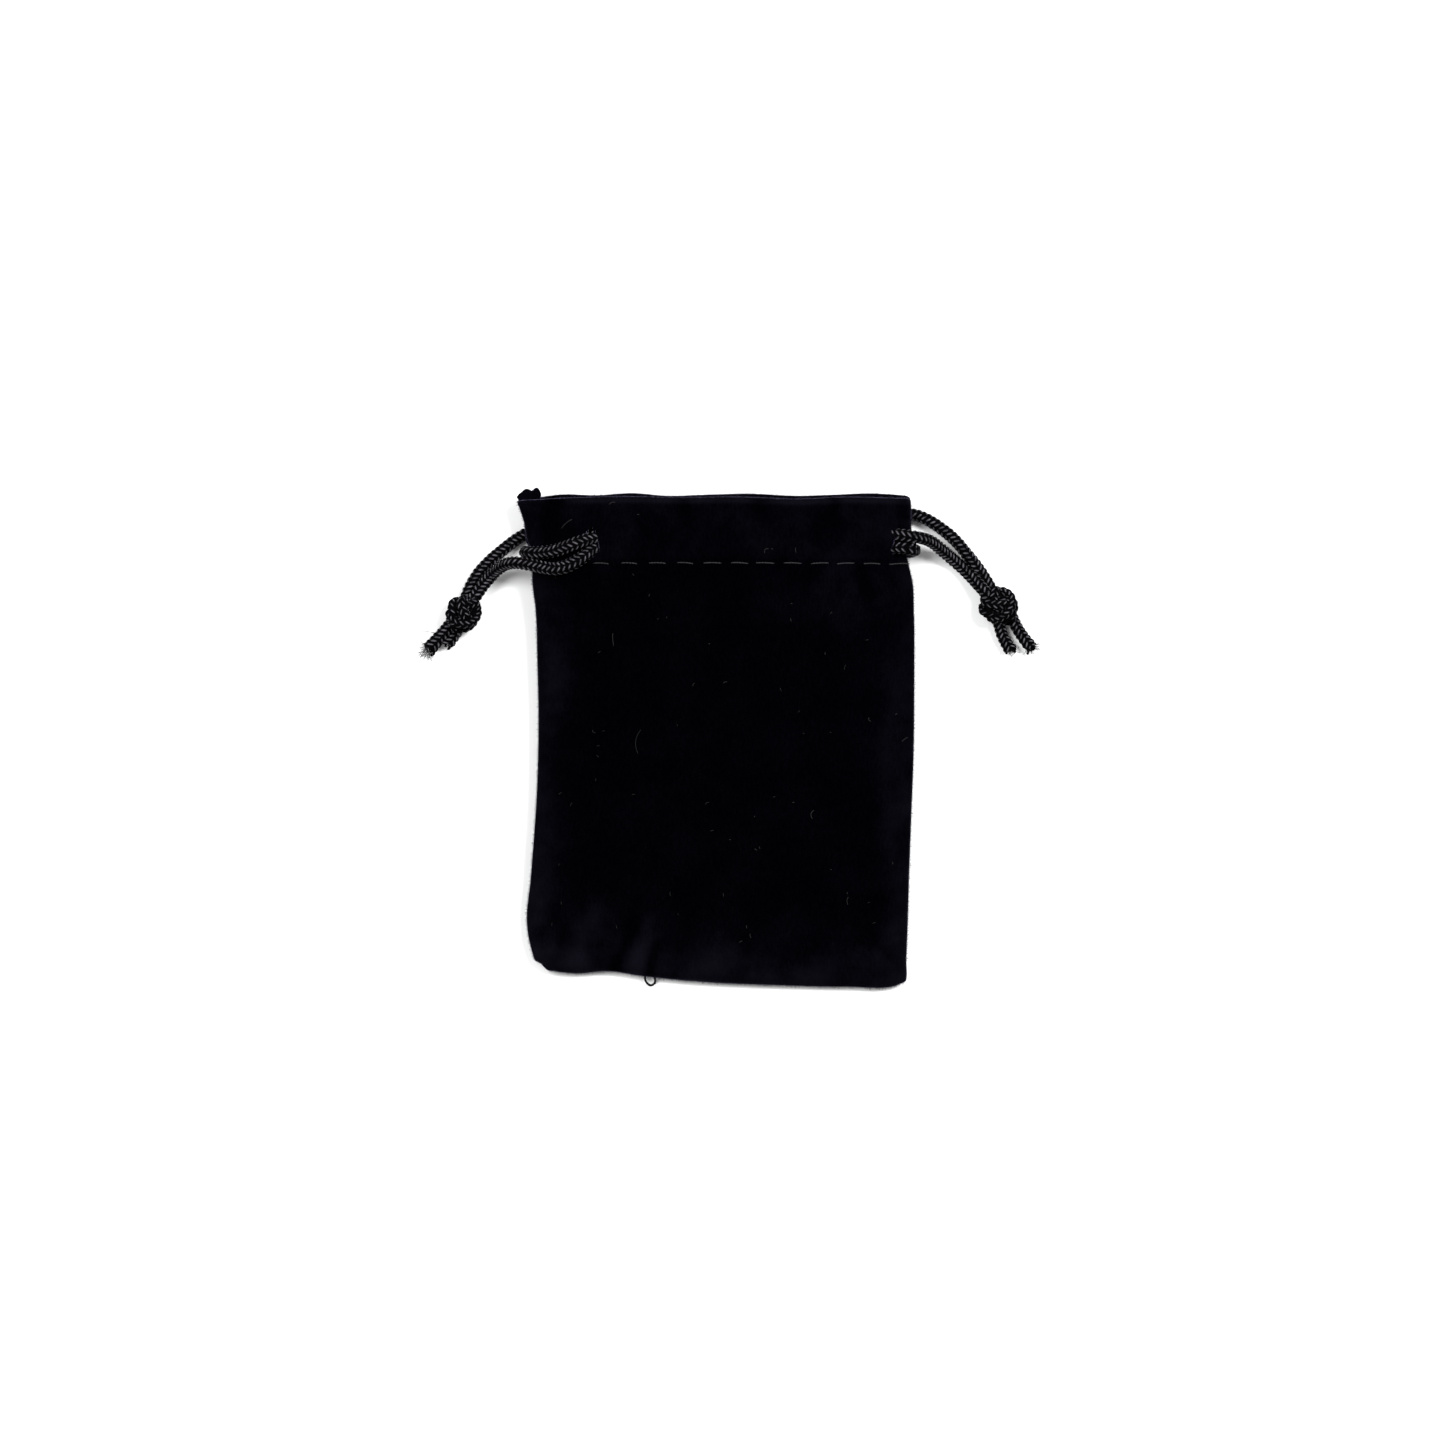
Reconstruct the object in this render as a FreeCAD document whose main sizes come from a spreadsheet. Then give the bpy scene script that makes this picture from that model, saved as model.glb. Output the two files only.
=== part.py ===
import FreeCAD, Part, Sketcher
import math
import os

# A drawstring dice bag of velvet, lying on its back, in millimetres. X runs to the right, Y
# towards the mouth and Z up. The origin is at the middle of the cloth's outline, on the surface
# that the bag lies on. One piece of velvet is folded at the right edge and sewn along the left
# edge and the bottom. Its top edge is turned in and stitched down, which makes a casing all
# round the mouth, and two cords run through that casing, one pulling to each side.

V = FreeCAD.Vector

SIZES = {
    "cloth": 0.7,              # velvet, pile and all
    "flat_half": 20.0,         # half the width of the flat part of the back
    "back_top": 45.4,          # the back's mouth edge stands a little higher
    "allowance": 6.0,          # depth of the turned-in seam allowances
    "ply": 0.6,                # one ply of a seam allowance, pressed
    "ply_gap": 0.02,           # between the two plies of a seam allowance
    "ply_start": 0.3,          # how far inside the turned edge a side ply is at full thickness
    "bottom_ply_left": -26.0,  # the bottom seam's plies: their ends, lower edge and width
    "bottom_ply_right": 30.0,
    "bottom_ply_edge": -43.4,
    "bottom_ply_width": 4.4,
    "bottom_ply_rise": 0.15,   # and how far they lie above the back's inner face
    "ears_top": 46.3,          # the raw ends of the side seam stand above the mouth
    "raw_edge": 29.8,          # lower, raw edge of the two hems
    "stitch_line": 32.2,       # the row of stitches that closes each casing
    "channel_low": 33.7,       # the casing is at full depth from here
    "channel_high": 43.0,      # to here
    "hem_top": 44.3,
    "hem_fold": 0.2,           # how much further the hem's inner face reaches at the mouth
    "hem_bend": 0.3,           # and how far it runs on past each other bend
    "pressed": 0.3,            # depth of a hem where the casing is pressed flat
    "channel": 2.9,            # depth of the channel that a cord runs in
    "bulge": 2.5,              # how much deeper the back channel is where the cords cross
    "slack": 0.2,              # gap between layers that lie on each other
    "slit_low": 32.8,
    "slit_high": 39.8,
    "wide_slit_high": 43.0,
    "cord_diameter": 2.4,
    "thread_diameter": 0.34,
    "stitch_length": 2.7,      # the part of a stitch that shows
    "stitch_pitch": 5.0,
    "stitch_row": 31.3,        # where the casings' stitches lie
    "side_row": 3.2,           # from the left edge to the side seam's stitches
    "bottom_row": -42.4,       # where the bottom seam's stitches lie
    "loop_radius": 0.85,       # a loose loop of thread under the bottom seam
    "loop_lift": 0.02,         # how far the loop stays clear of the surface below it
}

# Where each row of stitches starts and stops, along its own seam.
ROWS = {
    "front": (-21.5, 32.0),
    "back": (-17.5, 18.0),
    "side": (-36.0, 28.0),
    "bottom": (-23.0, 28.0),
}

# A stitch's run stands this share of the thread's diameter above the cloth, and its corners
# are rounded by this share of their sides.
STITCH_RISE = 0.55
STITCH_ROUND = 0.2
CORD_ROUND = 0.45

# The loose loop's middle in plan, and where its open ring starts and how far it goes, in
# degrees.
LOOP_PLACE = (-12.0, -45.1)
LOOP_START, LOOP_SWEEP = 145, 250

# An outline in plan of what lies outside the bottom edge, which slopes up to the tucked left
# corner.
OUTSIDE = {
    "tuck_left": (-38.0, -41.6),
    "tuck_right": (-32.0, -41.9),
    "corner": (-30.5, -43.4),
    "seam_left": (-13.5, -44.1),
    "seam_middle": (11.2, -45.8),
    "seam_right": (24.6, -46.2),
    "below_right": (24.6, -48.0),
    "below_left": (-38.0, -48.0),
}

# A cut that takes away less than this, in cubic millimetres, has missed.
LEAST_CUT = 0.5
# How far a cord's volume may be from its section times its length, as a share.
TUBE_TOLERANCE = 0.01

# The cloth's cross-sections, from the bottom seam to the mouth: the place along Y, the left and
# right edges, the lowest and highest points of those edges, and the crown of the front.
SECTION_VALUES = ("along", "left", "right", "low", "high", "crown")
SECTIONS = {
    "seam": (-46.3, -34.0, 35.2, 0.15, 3.05, 3.25),
    "foot": (-40.0, -34.6, 35.5, 0.5, 3.5, 4.0),
    "lower": (-28.0, -34.5, 35.8, 1.3, 4.3, 7.4),
    "waist": (-8.0, -33.1, 36.6, 2.0, 5.0, 9.7),
    "middle": (9.0, -32.9, 36.8, 2.3, 5.4, 10.2),
    "upper": (21.0, -33.2, 36.7, 2.6, 6.1, 11.4),
    "neck": (29.0, -34.0, 36.2, 3.0, 6.9, 13.3),
    "casing": (36.0, -35.0, 36.1, 3.0, 6.9, 13.3),
    "mouth": (44.6, -36.8, 36.3, 3.0, 6.9, 13.3),
}

# The ends of each slit across the bag. The back slits run out to the bag's edges.
SLITS = {
    "front_left_slit": (-27.9, -19.2),
    "front_right_slit": (27.2, 34.4),
    "back_left_slit": (-33.6, -24.6),
    "back_right_slit": (24.6, 34.6),
}

doc = FreeCAD.newDocument("dice_bag")
sheet = doc.addObject("Spreadsheet::Sheet", "Sizes")
nodes = []


def fill_sheet():
    values = dict(SIZES)
    for section, numbers in SECTIONS.items():
        for name, number in zip(SECTION_VALUES, numbers):
            values[f"{section}_{name}"] = number
    for slit, (start, stop) in SLITS.items():
        values[f"{slit}_start"] = start
        values[f"{slit}_stop"] = stop
    for corner, (across, up) in OUTSIDE.items():
        values[f"{corner}_across"] = across
        values[f"{corner}_up"] = up
    for row, (name, number) in enumerate(values.items(), start=1):
        sheet.set(f"A{row}", name)
        sheet.set(f"B{row}", str(number))
        sheet.setAlias(f"B{row}", name)
    doc.recompute()


def value(formula):
    """The number that a formula over the sheet's names gives."""
    result = sheet.evalExpression(str(formula))
    return float(getattr(result, "Value", result))


def bound(formula):
    """The formula as setExpression wants it, with the sheet named before each of its names."""
    text, word = "", ""
    for letter in f"{formula} ":
        if letter.isalnum() or letter == "_":
            word += letter
            continue
        is_name = word[:1].isalpha() and word not in ("sqrt", "abs")
        text += ("Sizes." if is_name else "") + word + letter
        word = ""
    return text.strip()


def node(thing, name):
    thing.Label = name
    nodes.append(thing)
    return thing


# ---------------------------------------------------------------- sketches and bodies


def midpoint(start, end, radius, side):
    """The middle of the arc from start to end, which bulges to the left of the way at side 1."""
    chord = end - start
    sagitta = radius - math.sqrt(radius**2 - (chord.Length / 2) ** 2)
    return (start + end) * 0.5 + V(-chord.y, chord.x, 0).normalize() * (side * sagitta)


def sketch(body, name, role, offset, corners, arcs=None):
    """A closed outline on one of the body's own planes. A corner is a pair of formulas, and arcs
    gives a radius formula and a side for each edge that isn't straight."""
    arcs = arcs or {}
    drawing = body.newObject("Sketcher::SketchObject", name)
    drawing.AttachmentSupport = [
        (next(f for f in body.Origin.OriginFeatures if f.Role == role), "")
    ]
    drawing.MapMode = "FlatFace"
    drawing.setExpression("AttachmentOffset.Base.z", bound(offset))
    points = [V(value(across), value(up), 0) for across, up in corners]
    ends = []
    for i, start in enumerate(points):
        end = points[(i + 1) % len(points)]
        if i not in arcs:
            drawing.addGeometry(Part.LineSegment(start, end))
            ends.append((1, 2))
            continue
        radius, side = arcs[i]
        middle = midpoint(start, end, value(radius), side)
        first, last = (end, start) if side > 0 else (start, end)
        drawing.addGeometry(Part.Arc(first, middle, last))
        ends.append((2, 1) if side > 0 else (1, 2))
        number = drawing.addConstraint(Sketcher.Constraint("Radius", i, value(radius)))
        drawing.setExpression(f"Constraints[{number}]", bound(radius))
    for i, corner in enumerate(corners):
        last = i - 1 if i else len(points) - 1
        drawing.addConstraint(
            Sketcher.Constraint("Coincident", last, ends[last][1], i, ends[i][0])
        )
        for way, formula in zip(("DistanceX", "DistanceY"), corner):
            place = Sketcher.Constraint(way, -1, 1, i, ends[i][0], value(formula))
            number = drawing.addConstraint(place)
            drawing.setExpression(f"Constraints[{number}]", bound(formula))
    return drawing


def lofted(name, role, outlines):
    """A body lofted through outlines, each (name, offset, corners, arcs), in straight lines."""
    body = doc.addObject("PartDesign::Body", name)
    drawings = [sketch(body, f"{name}_{part}", role, *rest) for part, *rest in outlines]
    loft = body.newObject("PartDesign::AdditiveLoft", f"{name}_loft")
    loft.Profile = drawings[0]
    loft.Sections = drawings[1:]
    loft.Ruled = True
    doc.recompute()
    return body


def cut_through(body, name, corners):
    """Cuts an outline drawn in plan right through the body."""
    before = body.Shape.Volume
    pocket = body.newObject("PartDesign::Pocket", name)
    pocket.Profile = sketch(body, f"{name}_outline", "XY_Plane", "0", corners)
    pocket.SideType = "Symmetric"
    pocket.Type = "ThroughAll"
    doc.recompute()
    if body.Shape.Volume > before - LEAST_CUT:
        raise RuntimeError(f"{name} cuts nothing")


def slit(body, name, top="slit_high"):
    left, right = f"{name}_start", f"{name}_stop"
    cut_through(
        body,
        name,
        [(left, "slit_low"), (right, "slit_low"), (right, top), (left, top)],
    )


def bottom_corner(body, name):
    """Takes off what lies outside the bottom edge."""
    cut_through(body, name, [(f"{corner}_across", f"{corner}_up") for corner in OUTSIDE])


# ---------------------------------------------------------------- the cloth


def turn(section):
    """The radius of the round edge at a section."""
    return f"(({section}_high - {section}_low) / 2)"


def panel_left(section):
    return f"({section}_left + {turn(section)})"


def panel_right(section):
    return f"({section}_right - {turn(section)})"


def crown_radius(section):
    half = f"(({panel_right(section)} - {panel_left(section)}) / 2)"
    rise = f"({section}_crown - {section}_high)"
    return f"({half} * {half} + {rise} * {rise}) / (2 * {rise})"


def edge_radius(section, edge):
    """The radius of the back's rise from its flat middle to an edge, tangent to the middle."""
    run = f"(abs({edge}) - flat_half)"
    return f"({run} * {run} + {section}_low * {section}_low) / (2 * {section}_low)"


def front_outline(section):
    left, right = panel_left(section), panel_right(section)
    top = f"{section}_high"
    corners = [(left, f"{top} - cloth"), (right, f"{top} - cloth"), (right, top), (left, top)]
    radius = crown_radius(section)
    return section, f"-{section}_along", corners, {0: (radius, 1), 2: (radius, -1)}


def back_outline(section, along=None):
    left, right = panel_left(section), panel_right(section)
    low = f"{section}_low"
    corners = [
        (left, low),
        ("-flat_half", "0"),
        ("flat_half", "0"),
        (right, low),
        (right, f"{low} + cloth"),
        ("flat_half", "cloth"),
        ("-flat_half", "cloth"),
        (left, f"{low} + cloth"),
    ]
    left_radius, right_radius = edge_radius(section, left), edge_radius(section, right)
    arcs = {
        0: (left_radius, -1),
        2: (right_radius, -1),
        4: (right_radius, 1),
        6: (left_radius, 1),
    }
    return section, f"-({along or section + '_along'})", corners, arcs


def fold_outline(section):
    """The turn of the cloth from the front to the back, round the right edge."""
    right = panel_right(section)
    low, high, radius = f"{section}_low", f"{section}_high", turn(section)
    middle = f"(({low} + {high}) / 2)"
    corners = [
        (right, low),
        (f"{section}_right", middle),
        (right, high),
        (right, f"{high} - cloth"),
        (f"{section}_right - cloth", middle),
        (right, f"{low} + cloth"),
    ]
    inner = f"({radius} - cloth)"
    arcs = {0: (radius, -1), 1: (radius, -1), 3: (inner, 1), 4: (inner, 1)}
    return section, f"-{section}_along", corners, arcs


def turned_outline(section, side, along=None):
    """The left edge of the front (side 1) or the back (-1), turned in at the side seam."""
    left = panel_left(section)
    low, high = f"{section}_low", f"{section}_high"
    middle = f"(({low} + {high}) / 2)"
    outer = high if side > 0 else low
    inner = f"{section}_left + allowance"
    face = f"{middle} + {side} * ply_gap / 2"
    corners = [
        (left, outer),
        (f"{section}_left", face),
        (inner, face),
        (inner, f"{middle} + {side} * ply"),
        (f"{section}_left + cloth + ply_start", f"{middle} + {side} * ply"),
        (left, f"{outer} - {side} * cloth"),
    ]
    return section, f"-({along or section + '_along'})", corners, None


def front_panel():
    outlines = [front_outline(section) for section in SECTIONS]
    body = node(lofted("front_panel", "XZ_Plane", outlines), "front_panel")
    slit(body, "front_left_slit")
    slit(body, "front_right_slit")
    bottom_corner(body, "front_corner")


def back_panel():
    outlines = [back_outline(section) for section in SECTIONS]
    outlines.append(("edge", *back_outline("mouth", "back_top")[1:]))
    body = node(lofted("back_panel", "XZ_Plane", outlines), "back_panel")
    slit(body, "back_left_slit")
    slit(body, "back_right_slit", "wide_slit_high")
    bottom_corner(body, "back_corner")


def side_fold():
    outlines = [fold_outline(section) for section in SECTIONS]
    node(lofted("side_fold", "XZ_Plane", outlines), "side_fold")


def side_seam():
    """Two plies, the front's and the back's, whose raw ends stand out above the mouth."""
    plies = []
    for side, name in ((1, "front_ply"), (-1, "back_ply")):
        outlines = [turned_outline(section, side) for section in list(SECTIONS)[1:]]
        outlines.append(("ear", *turned_outline("mouth", side, "ears_top")[1:]))
        plies.append(lofted(name, "XZ_Plane", outlines))
    seam = doc.addObject("Part::Compound", "side_seam")
    seam.Links = plies
    node(seam, "side_seam_allowance")


def bottom_seam():
    """Two plies turned up inside the bag along the bottom."""
    plies = []
    for number, name in enumerate(("lower_ply", "upper_ply")):
        ply = doc.addObject("Part::Box", name)
        ply.setExpression("Length", bound("bottom_ply_right - bottom_ply_left"))
        ply.setExpression("Width", bound("bottom_ply_width"))
        ply.setExpression("Height", bound("ply"))
        ply.setExpression("Placement.Base.x", bound("bottom_ply_left"))
        ply.setExpression("Placement.Base.y", bound("bottom_ply_edge"))
        rise = f"cloth + bottom_ply_rise + {number} * (ply + ply_gap)"
        ply.setExpression("Placement.Base.z", bound(rise))
        plies.append(ply)
    seam = doc.addObject("Part::Compound", "bottom_seam")
    seam.Links = plies
    node(seam, "bottom_seam_allowance")


# ---------------------------------------------------------------- the hems


def front_inside(across):
    """The height of the front's inner face over the casing."""
    centre = f"(({panel_right('casing')} + {panel_left('casing')}) / 2)"
    radius = f"({crown_radius('casing')})"
    away = f"({across} - {centre})"
    drop = f"({radius} - sqrt({radius} * {radius} - {away} * {away}))"
    return f"(casing_crown - cloth - {drop})"


def back_inside(across):
    """The height of the back's inner face over the casing."""
    if abs(across) <= SIZES["flat_half"]:
        return "cloth"
    edge = panel_right("casing") if across > 0 else panel_left("casing")
    radius = f"({edge_radius('casing', edge)})"
    away = f"({abs(across)} - flat_half)"
    return f"(cloth + {radius} - sqrt({radius} * {radius} - {away} * {away}))"


def hem_outline(across, base, depth, side):
    """A hem's section at a place across the bag. It leaves the panel at the stitch line, runs
    at a depth below it and comes back to it at the mouth. Side -1 hangs under the front."""
    near, far = f"{base} + {side} * slack", f"{base} + {side} * ({depth})"
    inner_near, inner_far = f"{near} + {side} * cloth", f"{far} + {side} * cloth"
    corners = [
        ("raw_edge", near),
        ("stitch_line", near),
        ("channel_low", far),
        ("channel_high", far),
        ("hem_top", near),
        ("hem_top + hem_fold", inner_near),
        ("channel_high + hem_bend", inner_far),
        ("channel_low - hem_bend", inner_far),
        ("stitch_line - hem_bend", inner_near),
        ("raw_edge", inner_near),
    ]
    name = f"at_{across}".replace("-", "minus_").replace(".", "_")
    return name, str(across), corners, None


def front_hem():
    """It lies against the front at the left, where both cords are outside."""
    depths = {
        -31.6: "pressed",
        -28.6: "pressed",
        -22.5: "channel",
        -8.0: "channel",
        8.0: "channel",
        20.0: "channel",
        27.0: "channel",
        30.0: "channel - 0.8",
        33.4: "pressed",
    }
    outlines = [
        hem_outline(across, front_inside(across), depth, -1) for across, depth in depths.items()
    ]
    node(lofted("front_hem", "YZ_Plane", outlines), "front_hem")


def back_hem():
    """It has a bulge where the two cords cross in the back casing."""
    depths = {
        -32.4: "pressed",
        -29.5: "channel - 1.6",
        -26.0: "channel - 0.2",
        -20.0: "channel",
        4.0: "channel",
        11.4: "channel + bulge",
        18.5: "channel + bulge",
        26.0: "channel - 0.1",
        29.5: "channel - 1.6",
        33.0: "pressed",
    }
    outlines = [
        hem_outline(across, back_inside(across), depth, 1) for across, depth in depths.items()
    ]
    node(lofted("back_hem", "YZ_Plane", outlines), "back_hem")


# ---------------------------------------------------------------- the thread


def smooth_path(points, share=CORD_ROUND):
    """Straight runs joined by tangent arcs, as large as their runs allow. It returns the wire
    and the arcs' radii."""
    edges, radii = [], []
    here = points[0]
    for before, corner, after in zip(points, points[1:], points[2:]):
        arriving, leaving = corner - before, after - corner
        turned = arriving.getAngle(leaving)
        reach = share * min(arriving.Length, leaving.Length)
        arriving.normalize()
        leaving.normalize()
        start, end = corner - arriving * reach, corner + leaving * reach
        radius = reach / math.tan(turned / 2)
        towards = (leaving - arriving).normalize()
        middle = corner + towards * (radius / math.cos(turned / 2) - radius)
        edges.append(Part.LineSegment(here, start).toShape())
        edges.append(Part.Arc(start, middle, end).toShape())
        radii.append(radius)
        here = end
    edges.append(Part.LineSegment(here, points[-1]).toShape())
    return Part.Wire(edges), radii


def tube(path, diameter):
    """A round tube swept along a wire."""
    start = path.OrderedEdges[0]
    direction = start.tangentAt(start.FirstParameter)
    ring = Part.Circle(start.valueAt(start.FirstParameter), direction, diameter / 2)
    profile = Part.Wire([ring.toShape()])
    return path.makePipeShell([profile], True, False)


def staple(depth):
    """One lockstitch: its run lies on the cloth and its two legs go down through the layers."""
    half = SIZES["stitch_length"] / 2
    rise = SIZES["thread_diameter"] * STITCH_RISE
    points = [V(-half, 0, -depth), V(-half, 0, rise), V(half, 0, rise), V(half, 0, -depth)]
    path, _ = smooth_path(points, STITCH_ROUND)
    return tube(path, SIZES["thread_diameter"])


def stitches(name, depth, places):
    """A row of stitches. A place is a point on the cloth, the way the stitch runs and the way
    out of the cloth there, and depth is that of the layers that they join."""
    shapes = []
    for point, along, out in places:
        shape = staple(depth)
        turned = FreeCAD.Rotation(along, out.cross(along), out, "XZY")
        shape.Placement = FreeCAD.Placement(point, turned)
        shapes.append(shape)
    row = doc.addObject("Part::Feature", name)
    row.Shape = Part.makeCompound(shapes)
    node(row, name)


def pitch_range(row):
    """The middles of a row's stitches, along its seam."""
    start, stop = ROWS[row]
    count = int((stop - start) / SIZES["stitch_pitch"]) + 1
    return [start + i * SIZES["stitch_pitch"] for i in range(count)]


def front_stitches():
    radius = value(crown_radius("casing"))
    centre = value(f"({panel_right('casing')} + {panel_left('casing')}) / 2")
    places = []
    for across in pitch_range("front"):
        angle = math.asin((across - centre) / radius)
        top = value("casing_crown") - radius * (1 - math.cos(angle))
        along = V(math.cos(angle), 0, -math.sin(angle))
        out = V(math.sin(angle), 0, math.cos(angle))
        places.append((V(across, value("stitch_row"), top), along, out))
    stitches("front_casing_stitches", value("2 * cloth + slack"), places)


def back_stitches():
    """They show on the inside of the back hem: outside, the pile swallows them."""
    places = []
    for across in pitch_range("back"):
        height = value("2 * cloth + slack")
        places.append((V(across, value("stitch_row"), height), V(1, 0, 0), V(0, 0, 1)))
    stitches("back_casing_stitches", value("2 * cloth + slack"), places)


def side_stitches():
    """The row that joins the two plies of the side seam."""
    places = []
    names = list(SECTIONS)[1:-1]
    for along in pitch_range("side"):
        upper = next(s for s in names if SECTIONS[s][0] >= along)
        lower = names[names.index(upper) - 1]
        part = (along - SECTIONS[lower][0]) / (SECTIONS[upper][0] - SECTIONS[lower][0])
        left, middle = (
            value(f"({lower}_{a} + {lower}_{b}) / 2") * (1 - part)
            + value(f"({upper}_{a} + {upper}_{b}) / 2") * part
            for a, b in (("left", "left"), ("low", "high"))
        )
        at = V(left + SIZES["side_row"], along, middle + SIZES["ply"])
        places.append((at, V(0, 1, 0), V(0, 0, 1)))
    stitches("side_seam_stitches", value("2 * ply"), places)


def bottom_stitches():
    places = []
    for across in pitch_range("bottom"):
        height = value("cloth + bottom_ply_rise + ply_gap + 2 * ply")
        places.append((V(across, SIZES["bottom_row"], height), V(1, 0, 0), V(0, 0, 1)))
    stitches("bottom_seam_stitches", value("2 * ply"), places)


def thread_loop():
    """A loose end of sewing thread that hangs out in a loop under the bottom seam."""
    loop = doc.addObject("Part::Torus", "thread_loop")
    loop.setExpression("Radius1", bound("loop_radius"))
    loop.setExpression("Radius2", bound("thread_diameter / 2"))
    loop.Angle3 = LOOP_SWEEP
    height = value("thread_diameter / 2 + loop_lift")
    turned = FreeCAD.Rotation(V(0, 0, 1), LOOP_START)
    loop.Placement = FreeCAD.Placement(V(*LOOP_PLACE, height), turned)
    node(loop, "bottom_thread_loop")


# ---------------------------------------------------------------- the cords

# The left cord's two ends are tied at the left. From the front strand at the knot it goes into
# the front left slit, along the front casing, round the right edge, along the back casing and
# back to the knot.
LEFT_CORD = [
    V(-46.5, 23.7, 3.9),
    V(-45.6, 24.9, 3.5),
    V(-44.6, 26.4, 2.7),
    V(-43.5, 28.1, 1.9),
    V(-42.2, 29.8, 1.8),
    V(-40.8, 31.2, 3.0),
    V(-39.0, 32.2, 5.4),
    V(-37.2, 32.5, 7.5),
    V(-35.0, 32.2, 8.5),
    V(-32.0, 31.8, 9.1),
    V(-28.6, 32.3, 10.1),
    V(-25.4, 33.8, 10.6),
    V(-22.4, 34.9, 9.5),
    V(-19.0, 35.3, 8.75),
    V(-12.5, 35.3, 10.25),
    V(-3.0, 35.2, 11.15),
    V(9.0, 35.1, 10.95),
    V(20.0, 35.1, 9.2),
    V(27.2, 35.2, 7.15),
    V(31.0, 35.2, 7.2),
    V(33.8, 34.9, 8.35),
    V(36.4, 34.6, 8.2),
    V(38.1, 34.4, 4.9),
    V(36.3, 34.4, 1.45),
    V(33.2, 34.7, 1.3),
    V(29.4, 34.8, 1.9),
    V(25.6, 34.9, 2.7),
    V(21.4, 34.9, 3.4),
    V(17.8, 35.2, 4.6),
    V(13.9, 37.4, 4.68),
    V(10.2, 38.6, 3.4),
    V(6.0, 38.8, 2.3),
    V(-2.0, 38.6, 2.05),
    V(-15.0, 38.1, 2.1),
    V(-25.4, 37.8, 2.45),
    V(-30.0, 37.9, 1.8),
    V(-34.0, 37.9, 1.25),
    V(-37.3, 37.0, 1.22),
    V(-39.7, 35.3, 1.24),
    V(-42.0, 33.6, 1.22),
    V(-44.2, 31.8, 1.24),
    V(-46.1, 29.5, 1.22),
    V(-47.1, 27.2, 1.25),
    V(-47.4, 25.2, 1.4),
    V(-47.4, 23.6, 1.5),
]
LEFT_TAIL_FRONT = [V(-48.9, 22.4, 1.6), V(-50.6, 19.6, 1.25), V(-53.4, 16.6, 1.22)]
LEFT_TAIL_BACK = [V(-46.6, 21.3, 1.7), V(-48.4, 18.6, 1.3), V(-50.0, 16.4, 1.22)]

# The right cord is the same the other way round: tied at the right, with its far bend round the
# left edge.
RIGHT_CORD = [
    V(51.8, 25.2, 4.0),
    V(50.6, 26.4, 3.7),
    V(49.2, 27.9, 3.0),
    V(47.8, 29.6, 2.0),
    V(46.0, 31.5, 1.5),
    V(43.9, 33.3, 1.6),
    V(41.9, 34.9, 3.1),
    V(39.7, 36.6, 5.5),
    V(37.3, 37.5, 7.9),
    V(34.6, 37.7, 8.7),
    V(31.4, 37.9, 7.6),
    V(27.4, 38.0, 7.15),
    V(20.0, 37.9, 9.2),
    V(9.0, 37.8, 10.95),
    V(-3.0, 37.8, 11.15),
    V(-12.5, 37.9, 10.25),
    V(-18.6, 37.9, 8.8),
    V(-22.4, 37.6, 9.7),
    V(-25.8, 36.8, 10.7),
    V(-29.4, 35.8, 9.9),
    V(-32.2, 35.1, 8.8),
    V(-34.4, 34.9, 8.1),
    V(-37.0, 34.8, 4.9),
    V(-35.0, 34.7, 1.5),
    V(-32.2, 34.7, 1.35),
    V(-28.6, 34.8, 2.2),
    V(-23.6, 35.0, 2.5),
    V(-13.6, 35.2, 2.05),
    V(-3.0, 35.3, 2.05),
    V(4.6, 35.2, 2.05),
    V(10.6, 35.1, 2.04),
    V(14.4, 36.0, 2.03),
    V(18.0, 38.0, 2.04),
    V(22.2, 38.9, 2.2),
    V(26.4, 39.6, 2.35),
    V(30.4, 40.6, 1.6),
    V(33.8, 41.4, 1.25),
    V(36.8, 41.6, 1.22),
    V(39.4, 40.6, 1.24),
    V(41.8, 39.0, 1.22),
    V(44.2, 37.1, 1.24),
    V(46.6, 34.7, 1.22),
    V(48.8, 32.1, 1.24),
    V(50.6, 29.6, 1.22),
    V(52.0, 27.2, 1.3),
    V(52.9, 25.4, 1.4),
]
RIGHT_TAIL_FRONT = [V(52.2, 22.8, 1.6), V(53.1, 19.6, 1.3), V(54.6, 16.2, 1.22)]
RIGHT_TAIL_BACK = [V(54.9, 23.4, 1.6), V(56.4, 19.6, 1.25), V(58.9, 16.8, 1.22)]

# The two knots: the middle, the length, width and height, and the way each one points.
KNOTS = {
    "left_knot": (V(-47.1, 22.9, 2.85), (7.4, 6.0, 5.6), 55),
    "right_knot": (V(52.8, 24.6, 2.85), (7.8, 6.6, 5.6), -55),
}


def cord(name, points):
    """A length of cord, swept round its path, with its volume compared with its length."""
    wire, radii = smooth_path(points)
    path = doc.addObject("Part::Feature", f"{name}_path")
    path.Shape = wire
    start = wire.OrderedEdges[0]
    ring = doc.addObject("Part::Circle", f"{name}_ring")
    ring.setExpression("Radius", bound("cord_diameter / 2"))
    direction = start.tangentAt(start.FirstParameter)
    ring.Placement = FreeCAD.Placement(points[0], FreeCAD.Rotation(V(0, 0, 1), direction))
    sweep = doc.addObject("Part::Sweep", name)
    sweep.Sections = [ring]
    sweep.Spine = (path, [])
    sweep.Solid = True
    sweep.Frenet = False
    doc.recompute()
    expected = math.pi * (SIZES["cord_diameter"] / 2) ** 2 * wire.Length
    ratio = sweep.Shape.Volume / expected
    print(f"{name}: length {wire.Length:.1f}, volume over section x length {ratio:.4f}")
    print("  radii", " ".join(f"{radius:.1f}" for radius in radii))
    if abs(ratio - 1) > TUBE_TOLERANCE:
        raise RuntimeError(f"{name} isn't a clean tube")
    node(sweep, name)


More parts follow.
